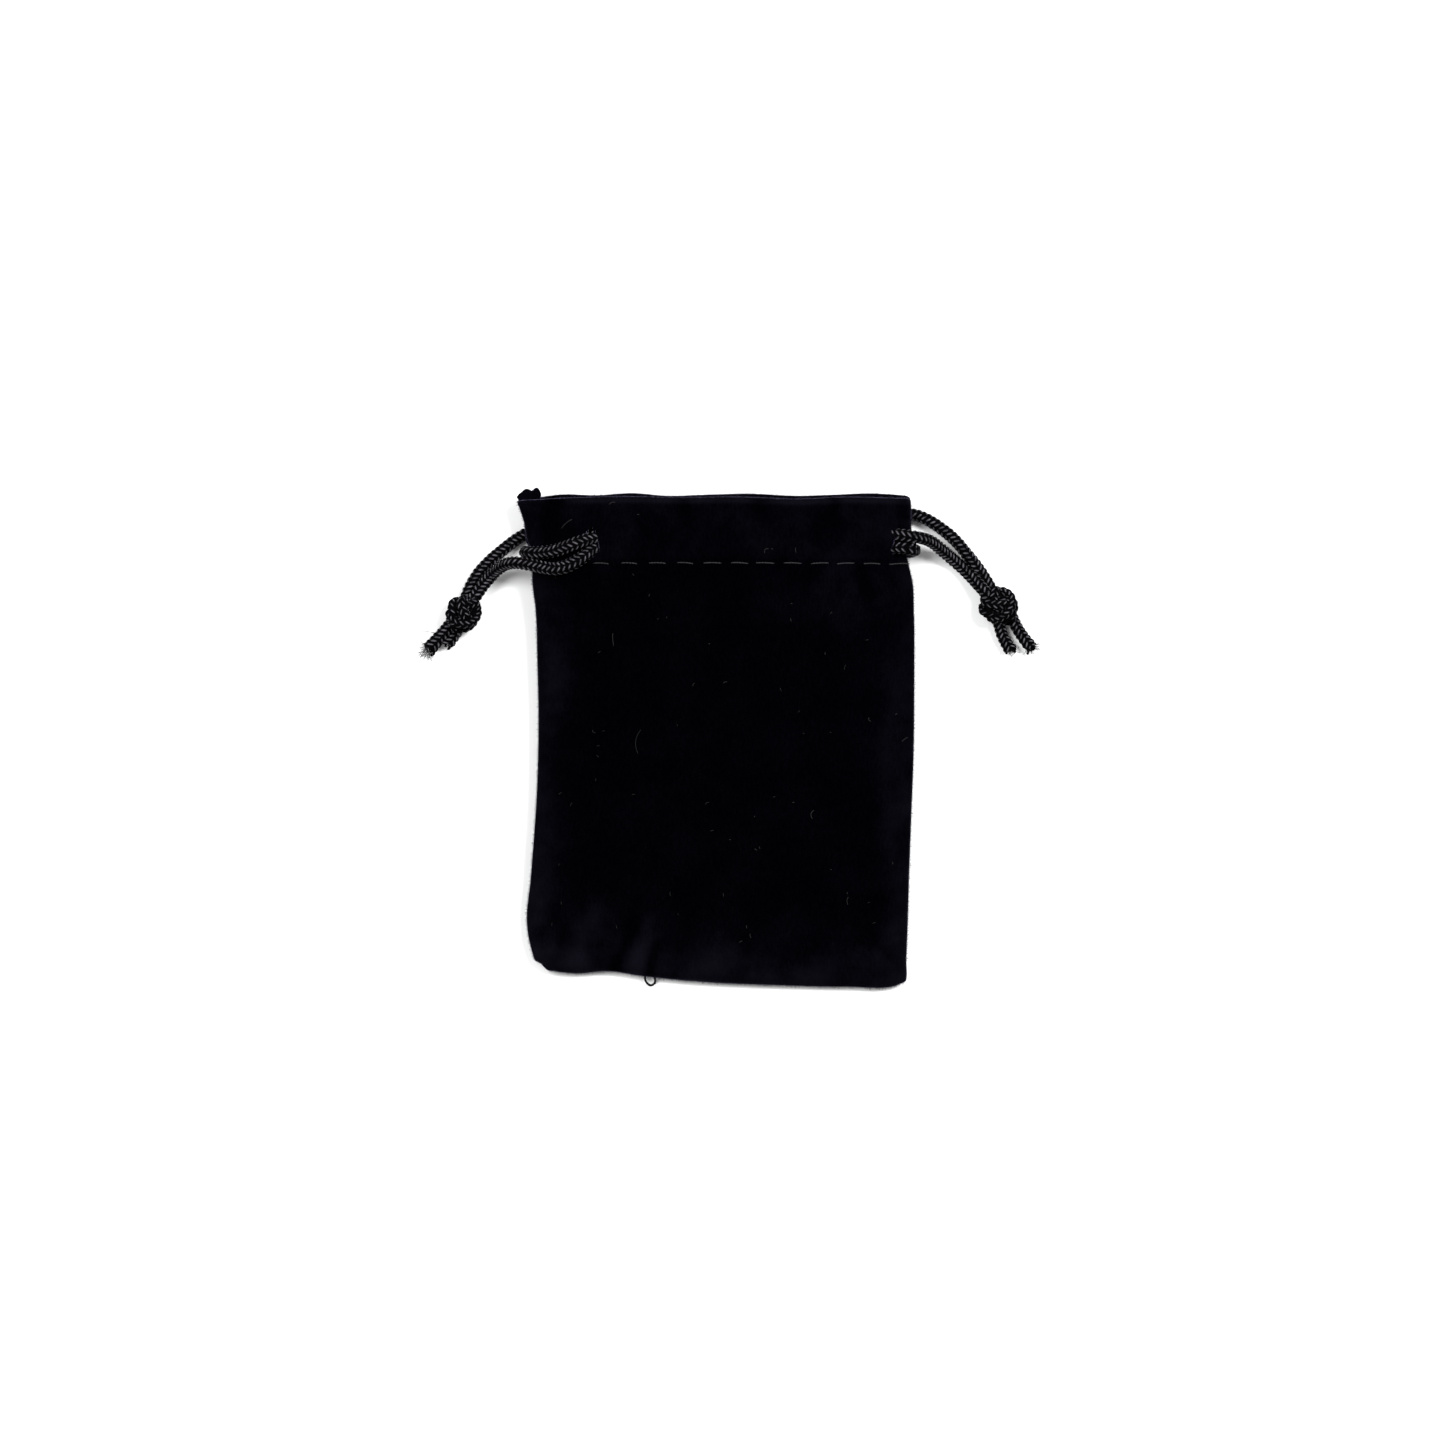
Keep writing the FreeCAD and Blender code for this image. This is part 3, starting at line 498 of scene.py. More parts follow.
def make_studio():
    bpy.ops.mesh.primitive_plane_add(size=FLOOR_SIZE, location=(0, 0, -FLOOR_DROP * MM))
    floor = bpy.context.object
    floor.name = "floor"
    floor.data.materials.append(FLOOR)
    world = bpy.data.worlds.new("studio")
    bpy.context.scene.world = world
    world.use_nodes = True
    sky = next(n for n in world.node_tree.nodes if n.type == "BACKGROUND")
    sky.inputs["Color"].default_value = (1.0, 1.0, 1.0, 1)
    sky.inputs["Strength"].default_value = SKY
    area_light("key", (1.1, 0.75, 1.9), 0.8, 62.0)
    area_light("fill", (-0.9, 0.5, 1.7), 1.0, 32.0)
    bpy.context.scene.view_settings.view_transform = "Standard"


make_camera()
make_studio()

# ---------------------------------------------------------------- the cords


OWN_STRETCH = 3.0             # a cord is beside itself only this many radii further along
# Where cords lie close, the strands' colour is painted dark as shade.
HIDDEN, IN_VIEW = 0.7, 1.25   # radii from a cord's line at which a strand is dark, or clear
LEAST_GLINT = 0.2


def uncovered(places, along, lay, others, radius):
    """How far each place on a cord is clear of the stretches of cord that lie beside it, its
    own among them, from LEAST_GLINT to 1. It dims the painted highlight, as painted shade, where
    cords touch."""
    nearest = np.inf
    for each in (lay, *others):
        gaps = np.linalg.norm(places[:, None] - each.points[None], axis=2)
        if each is lay:
            gaps[np.abs(along[:, None] - lay.along[None]) < OWN_STRETCH * radius] = np.inf
        nearest = np.minimum(nearest, gaps.min(axis=1))
    return LEAST_GLINT + (1 - LEAST_GLINT) * ramp(nearest, HIDDEN * radius, IN_VIEW * radius)


SPLAYED = 2.2                 # length of a cut end over which its strands come apart
CORE_SHORT = 1.6              # how far the core stops before a cut end
CORE_SHARE = 0.78             # the core's share of the cord's radius
THINNED = 0.45                # how much narrower a splayed strand gets
# How far the columns wander round the cord, in radians, and over what length.
ROLLS = ((0.35, 6.5), (0.2, 2.9))


def braid(name, lay, span, size=1.0, splay=0.0, phase=0.0, others=()):
    """Two families of strands wind round the line in opposite ways, each over two and under
    two, so that they show as columns of chevrons. size is the cord's thickness along its
    line, and splay spreads the strands over a cut end. Each strand's colour carries a painted
    highlight where it lies on top, and painted shade where it touches the other lays, and roll
    makes the columns wander round the cord."""
    here = slice(*span)
    points, along = lay.points[here], lay.along[here]
    side, up = lay.side[here], lay.up[here]
    size = np.broadcast_to(size, len(lay.points))[here]
    strands = Strands()
    at_end = np.clip((along - (along[-1] - SPLAYED)) / SPLAYED, 0, 1)
    columns = STRANDS // 2
    middle = CORD_RADIUS - STRAND_HALF_DEPTH - BRAID_WEAVE
    (far, slow), (less, quick) = ROLLS
    roll = far * np.sin(along / slow + 4 * phase) + less * np.sin(along / quick + 1.0)
    for way in (1, -1):
        for number in range(STRANDS):
            angle = way * 2 * math.pi * along / BRAID_TURN + 2 * math.pi * number / STRANDS
            over = way * np.cos(columns * angle - phase)
            angle = angle + roll
            spread = 1 + splay * at_end**2 * RNG.uniform(0.1, 1.1)
            radius = size * (middle + BRAID_WEAVE * over) * spread
            out = np.cos(angle)[:, None] * side + np.sin(angle)[:, None] * up
            centres = points + radius[:, None] * out
            end = len(centres)
            if splay:
                end -= int(RNG.uniform(0, 1.3) / BRAID_STEP)
            going = unit(np.gradient(centres, axis=0))
            across = unit(np.cross(going, out))
            rise = np.cross(across, going)
            # The painted highlight where a strand lies on top, dimmed as painted shade near the
            # other lays.
            crown = np.clip(1.2 * over - 0.05, 0, 1)
            crown = crown * uncovered(centres, along, lay, others, CORD_RADIUS * size[0])
            strands.tube(centres[:end], across[:end], rise[:end],
                         (size * STRAND_HALF_WIDTH * (1 - THINNED * splay * at_end))[:end],
                         (size * STRAND_HALF_DEPTH)[:end], crown=crown[:end])
    obj = strands.build(name, BRAID)
    core = Strands()
    inner = slice(0, len(points) - (int(CORE_SHORT / BRAID_STEP) if splay else 0), 3)
    thickness = CORE_SHARE * CORD_RADIUS * size[inner]
    core.tube(points[inner], side[inner], up[inner], thickness, thickness, 10)
    return joined(obj, core.build(f"{name}_core", CORE))


def joined(obj, *others):
    """One object from several, each face keeping its material."""
    bpy.ops.object.select_all(action="DESELECT")
    for each in (*others, obj):
        each.select_set(True)
    bpy.context.view_layer.objects.active = obj
    bpy.ops.object.join()
    return obj


FIBRE_RADIUS = 0.045
FIBRE_ROOT = 0.9              # how far back from a cut end its loose fibres start
LEAST_HEIGHT = 0.12           # of a fibre over the floor


def frayed_fibres(strands, tip, direction, count, spread, length):
    """Loose fibres that fan out from a cut end, more to the sides than up and down."""
    for _ in range(count):
        way = unit(direction + RNG.normal(0, spread, 3) * (1, 1, 0.45))
        start = tip + RNG.uniform(-0.75, 0.75, 3) * (1, 1, 0.7) - direction * FIBRE_ROOT
        bend = RNG.normal(0, 0.35, 3) * (1, 1, 0.5)
        reach = length * RNG.uniform(0.35, 1.0)
        steps = np.linspace(0, 1, 8)[:, None]
        line = start + way * reach * steps + bend * reach * steps**2
        line[:, 2] = np.maximum(line[:, 2], LEAST_HEIGHT)
        strands.thread(line, np.linspace(FIBRE_RADIUS, FIBRE_RADIUS * 0.5, 8), 4)


def hook(strands, *points, radius=0.07):
    """A few fibres that stay together and curl, along a line that points steer."""
    line = cord_line(points, 0.15)
    strands.thread(line, radius * (1 - 0.6 * np.linspace(0, 1, len(line))), 5)


PATH_STEP = 4                 # a cord's declared path has every fourth of its points
LINES = {"left": Lay(cord_line(LEFT_CORD)), "right": Lay(cord_line(RIGHT_CORD))}


def cord_pieces(side, other):
    """A cord in three pieces: the strand that comes out over the front, the bight round the far
    edge of the bag, and the strand that comes out under the back."""
    line = LINES[side].points
    middle = len(line) // 2
    ends = (0, int(np.argmin(np.abs(line[:middle, 0]))),
            middle + int(np.argmin(np.abs(line[middle:, 0]))), len(line) - 1)
    made = []
    for stretch, start, stop in zip(("front", "bight", "back"), ends, ends[1:]):
        obj = braid(f"{side}_cord_{stretch}", LINES[side], (start, stop + 1),
                    others=[LINES[other]])
        made.append((obj, [tuple(point * MM) for point in line[start:stop + 1:PATH_STEP]]))
    return made


# A doubled overhand knot's line about its centre: along the cord, across it and up.
KNOT = [
    (-3.6, 0.1, 0.3), (-2.2, -0.3, 0.5), (-0.6, -1.3, 0.2), (1.0, -1.9, -0.3), (2.2, -1.2, 0.3),
    (2.3, 0.5, 1.3), (1.1, 1.9, 0.9), (-0.7, 2.1, -0.4), (-2.1, 1.0, -1.3), (-2.2, -0.8, -1.1),
    (-1.5, -2.1, 0.2), (-0.3, -1.7, 1.6), (0.7, -0.2, 1.8), (1.3, 1.0, 0.4), (1.9, 0.9, -1.1),
    (3.4, 0.2, -0.4),
]
# A stretch of the same cord that shows through the knot's loop.
KNOT_INSIDE = [(-2.6, -0.4, 0.1), (-1.7, 0.6, 0.5), (-0.9, 1.3, 0.5), (0.2, 1.7, 0.2),
               (1.2, 1.2, 0.0)]
SMOOTHED = 7                  # places to either side over which a knot's outward way is smoothed
KNOT_THIN, KNOT_APART = 0.8, 0.95          # its cord's share of the thickness, and half its gap
KNOT_CLEAR = 0.05             # from its lowest point down to the floor


def knot(name, centre, direction, stretch):
    """A doubled overhand knot: two strands lie side by side along the knot's line, thinner than
    outside it, because the knot is pulled tight. stretch scales it along, across and up."""
    angle = math.atan2(direction[1], direction[0])
    forward = np.array((math.cos(angle), math.sin(angle), 0))
    left = np.array((-math.sin(angle), math.cos(angle), 0))

    def placed(steering):
        shaped = np.array(steering) * stretch
        return cord_line(np.array(centre) + shaped[:, :1] * forward + shaped[:, 1:2] * left
                         + shaped[:, 2:] * (0, 0, 1))

    line = placed(KNOT)
    lay = Lay(line)
    outward = line - np.array(centre)
    away = outward - lay.tangent * np.sum(outward * lay.tangent, axis=1, keepdims=True)
    kernel = np.hanning(2 * SMOOTHED + 1) / np.hanning(2 * SMOOTHED + 1).sum()
    away = np.stack([np.convolve(np.pad(away[:, a], SMOOTHED, "edge"), kernel, "valid")
                     for a in range(3)], axis=1)
    across = unit(np.cross(lay.tangent, away))
    strands = [Lay(line + way * KNOT_APART * across) for way in (1, -1)]
    strands.append(Lay(placed(KNOT_INSIDE)))
    pieces = []
    for number, strand in enumerate(strands):
        others = [each for each in strands if each is not strand]
        pieces.append(braid(f"{name}_{number}", strand, (0, len(strand.points)), KNOT_THIN,
                            phase=number, others=others))
    obj = joined(*pieces)
    obj.name = name
    low = min(vertex.co.z for vertex in obj.data.vertices)
    obj.data.transform(Matrix.Translation((0, 0, KNOT_CLEAR * MM - low)))
    return obj


def tail(name, sizes, fibres, hooks=()):
    """A cut end of cord: its strands come apart and its fibres stand out."""
    line = cord_line(ENDS[name])
    lay = Lay(line)
    obj = braid(name, lay, (0, len(line)), np.linspace(*sizes, len(line)), splay=0.55)
    loose = Strands()
    count, spread, length = fibres
    frayed_fibres(loose, line[-1], lay.tangent[-1], count, spread, length)
    for points in hooks:
        hook(loose, *points)
    return joined(obj, loose.build(f"{name}_fibres", BRAID))


LEFT = cord_pieces("left", "right")
RIGHT = cord_pieces("right", "left")
LEFT_KNOT = knot("left_knot_tied", (-46.7, 23.0, 2.7), (-0.62, -0.78), (1.02, 1.08, 0.95))
RIGHT_KNOT = knot("right_knot_tied", (52.5, 24.5, 2.7), (0.4, -0.92), (1.0, 1.25, 0.95))
LEFT_TAILS = [
    tail("left_end_front", (1.0, 1.12), (60, 0.5, 2.4),
         [((-52.3, 17.6, 1.2), (-54.2, 17.4, 0.9), (-55.6, 18.6, 0.6), (-56.4, 19.0, 0.4)),
          ((-52.6, 17.0, 1.0), (-53.8, 15.4, 0.8), (-54.6, 15.2, 0.6), (-54.9, 15.9, 0.6)),
          ((-52.0, 16.8, 1.2), (-53.0, 14.9, 0.9), (-52.4, 14.0, 0.7), (-51.9, 14.4, 0.6)),
          ((-51.6, 19.4, 1.2), (-53.6, 20.0, 0.8), (-55.4, 19.6, 0.5), (-57.6, 18.4, 0.3))]),
    tail("left_end_back", (1.0, 1.0), (16, 0.4, 0.9)),
]
RIGHT_TAILS = [
    tail("right_end_front", (0.95, 0.98), (18, 0.4, 1.1),
         [((54.9, 16.7, 1.2), (56.1, 16.2, 0.9), (56.3, 17.0, 0.7))]),
    tail("right_end_back", (0.95, 0.98), (34, 0.4, 1.8),
         [((58.2, 17.2, 1.1), (59.6, 17.2, 0.9), (60.3, 17.9, 0.6)),
          ((58.0, 16.8, 1.0), (58.9, 15.6, 0.8), (59.7, 15.2, 0.5))]),
]

# ---------------------------------------------------------------- the velvet


TUCKED, ROLLED, FLAT = range(3)
HALF_WIDTH, BODY_LENGTH = 33.0, 86.0   # of the part of the cloth between its rolled edges
HEM_DEPTH = 14.0              # from the mouth down to the hem's raw edge
HEM_INSET = 0.9               # how much further in the hem's sides lie
BACK_WAVES = 0.35             # how wavy the back is beside the front


def grid_columns():
    """The columns of the cloth's mesh, from the front's left seam over the front, round the
    right fold and back under the bag to the left seam. Each is (layer, kind, half, share of the
    way from the left edge to the middle line or from there to the right edge, turn)."""
    turns = np.radians(np.linspace(0, 90, 8))
    flat = np.linspace(0, 1, round(HALF_WIDTH / CELL) + 1)[1:]
    front = [(TUCKED, -1, 0.0, 0.0)]
    front += [(ROLLED, -1, 0.0, turn) for turn in turns]
    front += [(FLAT, half, share, math.pi / 2) for half in (-1, 1) for share in flat]
    front += [(ROLLED, 1, 0.0, turn) for turn in turns[-2::-1]]
    return [(1, *column) for column in front] + [(-1, *column) for column in front[-2::-1]]


def grid_rows():
    """The rows, from the seam at the bottom up to the mouth, over the turn and down inside to
    the hem's raw edge. Each is (share of the way up, or depth below the mouth, shift, turn, how
    far in the hem it is)."""
    turns = np.radians(np.linspace(0, 90, 8))
    inner_roll = ROLL - CLOTH / 2
    rows = [(0.0, CLOTH / 2 + TUCK, 0.0, 0.0)]
    rows += [(0.0, CLOTH / 2 + inner_roll * (1 - math.cos(t)), t, 0.0) for t in turns[:-1]]
    flat = np.linspace(0, 1, round(BODY_LENGTH / CELL))
    rows += [(share, 0.0, math.pi / 2, 0.0) for share in flat]
    over = np.radians(np.linspace(0, 180, 9))[1:-1]
    rows += [(1.0, FOLD * math.sin(t), math.pi / 2, (1 - math.cos(t)) / 2) for t in over]
    rows += [(-depth, 0.0, math.pi / 2, 1.0) for depth in np.linspace(0, HEM_DEPTH, 26)]
    return rows


def edge_middle(y):
    """The height of the edges' middle, where the front and the back meet."""
    return (smooth(EDGE_LOW, y) + smooth(EDGE_HIGH, y)) / 2


def front_height(x, y):
    """The front's outer face, before its wrinkles: a crown, blunter below the casing."""
    left, right = smooth(LEFT_EDGE, y), smooth(RIGHT_EDGE, y)
    half = (right - left) / 2 - ROLL
    away = np.clip(np.abs(x - (left + right) / 2) / half, 0, 1)
    power = 2.0 + 0.5 * ramp(-y, -27, -18)
    high = smooth(EDGE_HIGH, y)
    return high + (smooth(CROWN, y) - high) * (1 - away**power)


def back_height(x, y):
    """The back's outer face: flat in the middle, and up to the edges."""
    reach = np.where(x < 0, -smooth(LEFT_EDGE, y), smooth(RIGHT_EDGE, y)) - ROLL - BACK_FLAT
    away = np.clip((np.abs(x) - BACK_FLAT) / reach, 0, 1)
    return smooth(EDGE_LOW, y) * away**2


def wrinkle_height(x, y):
    height = np.zeros_like(x)
    for start, end, half_width, rise in WRINKLES:
        way = np.subtract(end, start)
        share = ((x - start[0]) * way[0] + (y - start[1]) * way[1]) / (way @ way)
        held = np.clip(share, 0, 1)
        distance = np.hypot(x - start[0] - held * way[0], y - start[1] - held * way[1])
        fade = 1 - 0.6 * held
        height += rise * fade * bell(distance, half_width)
    return height


def hem_depth(x, y, layer):
    """How far the hem's middle lies inside the cloth's middle."""
    room = smooth(FRONT_ROOM if layer > 0 else BACK_ROOM, x)
    opened = ramp(y, STITCH_LINE, CHANNEL_LOW) * (1 - ramp(y, CHANNEL_HIGH, 44.2))
    return HEM_CLOSED + (HEM_OPEN - HEM_CLOSED) * np.clip(room, 0, 2) * opened


def cloth_grid():
    """The middle of the cloth: points by row and column, and what each column and row is."""
    share, shift, climb, inside = np.array(grid_rows()).T[:, :, None]
    climb = np.sin(climb)
    layer, kind, half, across, turn = np.array(grid_columns(), float).T[:, None, :]
    inner_roll = ROLL - CLOTH / 2

    def along(x):
        bottom = smooth(BOTTOM_EDGE, x)
        top = np.where(layer > 0, smooth(FRONT_TOP, x), smooth(BACK_TOP, x)) - CLOTH / 2 - FOLD
        low = bottom + ROLL
        climbing = np.where(inside < 1, low + (top - low) * share + shift, top + share)
        return np.where(climb < 1, bottom + shift, climbing)

    def sideways(y):
        left, right = smooth(LEFT_EDGE, y), smooth(RIGHT_EDGE, y)
        inset = (CLOTH / 2 + inner_roll * (1 - np.cos(turn))
                 + HEM_INSET * inside * np.cos(turn))
        flat = np.where(half < 0, (left + ROLL) * (1 - across), (right - ROLL) * across)
        edge = np.where(half < 0, left + inset, right - inset)
        x = np.where(kind == ROLLED, edge, flat)
        return np.where(kind == TUCKED, left + CLOTH / 2 + TUCK, x)

    x = sideways(np.zeros_like(share))
    for _ in range(4):
        y = along(x)
        x = sideways(y)
    middles = np.where((kind == FLAT) & (half < 0) & (across == 1))[1]
    return x, y, layer, turn, climb, inside, half, middles


CUT_MIDDLE = 36.5             # where along the bag a slit picks the mesh's column it follows
DRAW_REACH, DRAW_ENDS = 5.5, (2.5, 6.2)    # how far from a cut the cloth is drawn aside
LIP_REACH = 2.6               # how far from a cut its lip is raised


def slit_lips(x, y, layer, inside):
    """Opens each slit: the cloth on either side of a cut draws back and its lip may rise. It
    gives the new x and the rise, and both again for the other lip of each cut's own column."""
    rise = np.zeros_like(x)
    twin_x, twin_rise = {}, {}
    opened = x.copy()
    for face, line, (low, high), (back_left, back_right), (up_left, up_right) in SLITS:
        own = np.where(layer[0] == face)[0]
        outer = np.where(inside[:, 0] == 0)[0]
        middle_row = outer[np.argmin(np.abs(y[outer, own[0]] - CUT_MIDDLE))]
        column = own[np.argmin(np.abs(x[middle_row, own] - line))]
        lens = np.sqrt(np.clip(1 - ((2 * y - low - high) / (high - low)) ** 2, 0, 1))
        lens = lens * (inside == 0)
        offset = x - x[:, column:column + 1]
        fade = np.exp(-np.abs(offset) / DRAW_REACH) * (1 - ramp(np.abs(offset), *DRAW_ENDS))
        near = bell(offset, LIP_REACH)
        for way, back, up in ((-1, back_left, up_left), (1, back_right, up_right)):
            lip = lens * ((offset * way > 0) & (layer == face))
            opened += way * back * lip * fade
            rise += up * near * lip
        # On the front the columns run to the right, and on the back to the left.
        before, after = (back_left, back_right) if face > 0 else (-back_right, -back_left)
        rise_before, rise_after = (up_left, up_right) if face > 0 else (up_right, up_left)
        opened[:, column] -= before * lens[:, column]
        rise[:, column] += rise_before * lens[:, column]
        for row in (r for r in outer if lens[r, column] > 0):
            twin_x[row, column] = x[row, column] + after * lens[row, column]
            twin_rise[row, column] = rise_after * lens[row, column]
    return opened, rise, twin_x, twin_rise


# The cloth's unevenness: the height of each size of wave, how wide it is, and its seed.
WAVES = [(0.42, 17.0, 1), (0.16, 6.0, 2), (0.05, 2.2, 3)]
GROOVE, GROOVE_REACH = 0.42, 0.75          # the dent that the stitches pull in
SEWN_FROM = (-31.0, -26.0)    # the stitches start here, at the left slit
RIDGE = 0.3                   # how far each cord lifts the casing
RIDGES, RIDGE_REACH = (35.2, 37.9), 1.1    # where the two cords lie in it
LOOSE = 0.25                  # how far the casing sinks between the cords and the mouth


def heights(x, y, layer, turn, climb, inside, half, rise):
    """The height of the cloth's middle at each place of the grid."""
    middle = edge_middle(y)
    depth = hem_depth(x, y, 1) * (layer > 0) + hem_depth(x, y, -1) * (layer < 0)
    both = np.sin(turn) * climb
    groove = GROOVE * bell(y - STITCH_LINE, GROOVE_REACH)
    pucker = 0.75 + 0.25 * np.cos(2 * math.pi * (x + 21.0) / STITCH_PITCH)
    sewn = ramp(x, *SEWN_FROM)
    outer = (inside == 0)
    places = stacked(x, y, layer * 9.0)
    waves = sum(high * noise_field(places, *kind) for high, *kind in WAVES)
    casing = ramp(y, STITCH_LINE, 34.0) * (1 - ramp(y, 41.0, 44.0))
    cords = sum(bell(y - line, RIDGE_REACH) for line in RIDGES)
    loose = ramp(y, 39.5, 41.5) * (1 - ramp(y, 42.5, 44.5))
    ridges = RIDGE * cords * casing * ramp(x, -20, -16) * ramp(-x, -29, -24) - LOOSE * loose
    relief = waves + (wrinkle_height(x, y) + ridges) * outer + rise
    relief = relief - groove * pucker * sewn * outer
    front = front_height(x, y) - CLOTH / 2 + relief - depth * inside
    raised = np.maximum(BACK_WAVES * (waves + groove * outer), 0) + rise
    back = back_height(x, y) + CLOTH / 2 + raised + depth * inside
    gap = SEAM_GAP * np.where(half < 0, 1.0, (1 - climb) * np.sin(turn))
    over = middle + gap + (front - middle - gap) * both
    under = middle - gap + (back - middle + gap) * both
    return np.where(layer > 0, over, under)


def brushed_pile(points):
    """Painted sheen on the velvet, from 0 to 1, with the nap's random tone: lighter along the edges
    and the casing, where the cloth slopes, with painted highlight and shade on the wrinkles and a
    painted highlight along the front's top fold. Each bell here has how strong it is and how far it
    reaches."""
    x, y = points[:, 0], points[:, 1]
    from_left, from_right = x - smooth(LEFT_EDGE, y), smooth(RIGHT_EDGE, y) - x
    from_bottom = y - smooth(BOTTOM_EDGE, x)
    # Painted sheen: lighter where the cloth slopes down to its edges, along the casing, below the
    # casing and near the lower left corner.
    edges = (0.36 * bell(from_left, 5.0) + 0.34 * bell(from_right, 4.5)
             + 0.44 * bell(from_bottom, 8.5))
    casing = (0.18 + 0.04 * ramp(x, 5, 30)) * ramp(y, STITCH_LINE, STITCH_LINE + 1.2)
    below = 0.3 * bell(y - 26.0, 6.0) * ramp(x, 0, 25)
    corner = 0.34 * bell(x + 24, 7.0) * bell(y + 36, 7.5)
    blotches = noise_field(points, 6.5, 5) + 0.6 * noise_field(points, 2.1, 6)
    level = 0.05 + np.maximum(np.maximum(edges, casing), below + corner)
    # Painted highlight on the wrinkles' crests and painted shade in their hollows.
    crease_highlight_and_shade = 1.1 * wrinkle_height(x, y)
    # A painted highlight along the front's top fold.
    turned = smooth(FRONT_TOP, x) - 0.75
    crease_highlight_and_shade = crease_highlight_and_shade + 0.6 * bell(y - turned, 0.4) * ramp(x, -30, -24)
    return np.clip(level * (1 + 0.55 * blotches) + 0.1 * blotches + crease_highlight_and_shade, 0, 1)


def cloth_parts():
    """The grid's points, its normals, and for each piece of cloth its faces and the points at
    its borders with the other pieces."""
    x, y, layer, turn, climb, inside, half, middles = cloth_grid()
    x, rise, twin_x, twin_rise = slit_lips(x, y, layer, inside)
    z = heights(x, y, layer, turn, climb, inside, half, rise)
    points = np.stack([x, y, z], axis=-1)
    down_rows, along_columns = np.gradient(points, axis=0), np.gradient(points, axis=1)
    normals = unit(np.cross(along_columns, down_rows))
    number = np.arange(x.size).reshape(x.shape)
    twin_number = {twin: x.size + i for i, twin in enumerate(twin_x)}
    lifted = [points[twin] + (twin_x[twin] - x[twin], 0, twin_rise[twin] - rise[twin])
              for twin in twin_x]
    all_points = np.concatenate([points.reshape(-1, 3), lifted])
    all_normals = np.concatenate([normals.reshape(-1, 3), [normals[twin] for twin in twin_x]])
    borders = (0, *middles, x.shape[1] - 1)
    names = ("velvet_front_left", "velvet_right", "velvet_back_left")
    parts = {}
    for name, start, stop in zip(names, borders, borders[1:]):
        faces = []
        for r in range(x.shape[0] - 1):
            for c in range(start, stop):
                corners = [twin_number.get(k, number[k]) for k in ((r, c), (r + 1, c))]
                faces.append((corners[0], number[r, c + 1], number[r + 1, c + 1], corners[1]))
        parts[name] = (faces, set(number[:, [start, stop]].ravel().tolist()))
    return all_points, all_normals, parts


def thick_cloth(name, points, normals, faces, split=(), thickness=CLOTH):
    """A closed sheet from its middle: two faces half the cloth's thickness away, and a rim.
    The rim where the sheet was split from its other half is shaded on its own."""
    used = sorted({int(v) for face in faces for v in face})
    place = {v: i for i, v in enumerate(used)}
    count = len(used)
    middle, out = points[used], normals[used]
    solid = np.concatenate([middle + out * thickness / 2, middle - out * thickness / 2])
    shown = [[place[v] for v in face] for face in faces]
    edges = {}
    for face in shown:
        for a, b in zip(face, face[1:] + face[:1]):
            if (b, a) in edges:
                del edges[b, a]
            else:
                edges[a, b] = True
    rims = [[b, a, a + count, b + count] for a, b in edges]
    under = [[v + count for v in reversed(face)] for face in shown]
    # Each point carries the painted sheen for the velvet's colour.
    obj = make_object(name, solid, shown + under + rims, VELVET,
                      brushed=np.tile(brushed_pile(middle), 2))
    split_here = {place[v] for v in split if v in place}
    split_here |= {v + count for v in split_here}
    sharp = obj.data.attributes.new("sharp_edge", "BOOLEAN", "EDGE")
    flags = [all(v in split_here for v in edge.vertices) for edge in obj.data.edges]
    sharp.data.foreach_set("value", flags)
    return obj


POINTS, NORMALS, PARTS = cloth_parts()
VELVETS = {name: thick_cloth(name, POINTS, NORMALS, *part) for name, part in PARTS.items()}


def upper_face(x, y, layer, inside):
    """The upper face of one layer, wrinkles and all, at places in millimetres. inside is 1 for
    its hem."""
    straight, flat = np.full_like(x, math.pi / 2), np.zeros_like(x)
    return heights(x, y, flat + layer, straight, flat + 1, flat + inside, np.sign(x),
                   flat) + CLOTH / 2


def front_surface(x, y):
    """The front's outer face."""
    return upper_face(x, y, 1, 0)


def back_surface(x, y):
    """The back hem's raw side, inside the bag."""
    return upper_face(x, y, -1, 1)


def grid_sheet(name, points, thickness):
    """A closed sheet from a grid of points at its middle."""
    rows, columns = points.shape[:2]
    normals = unit(np.cross(np.gradient(points, axis=1), np.gradient(points, axis=0)))
    number = np.arange(rows * columns).reshape(rows, columns)
    faces = [(number[r, c], number[r, c + 1], number[r + 1, c + 1], number[r + 1, c])
             for r in range(rows - 1) for c in range(columns - 1)]
    return thick_cloth(name, points.reshape(-1, 3), normals.reshape(-1, 3), faces,
                       thickness=thickness)


ALLOWANCE, PLY = 5.6, 0.5     # the seam plies' depth and thickness
EAR_LOW, EAR_TOP = -40.0, 46.2
NOTCH = 0.55                  # how deep the notch in the front ply's end is
BACK_SHORTER = 0.35           # how far the back ply's end is below the front one's


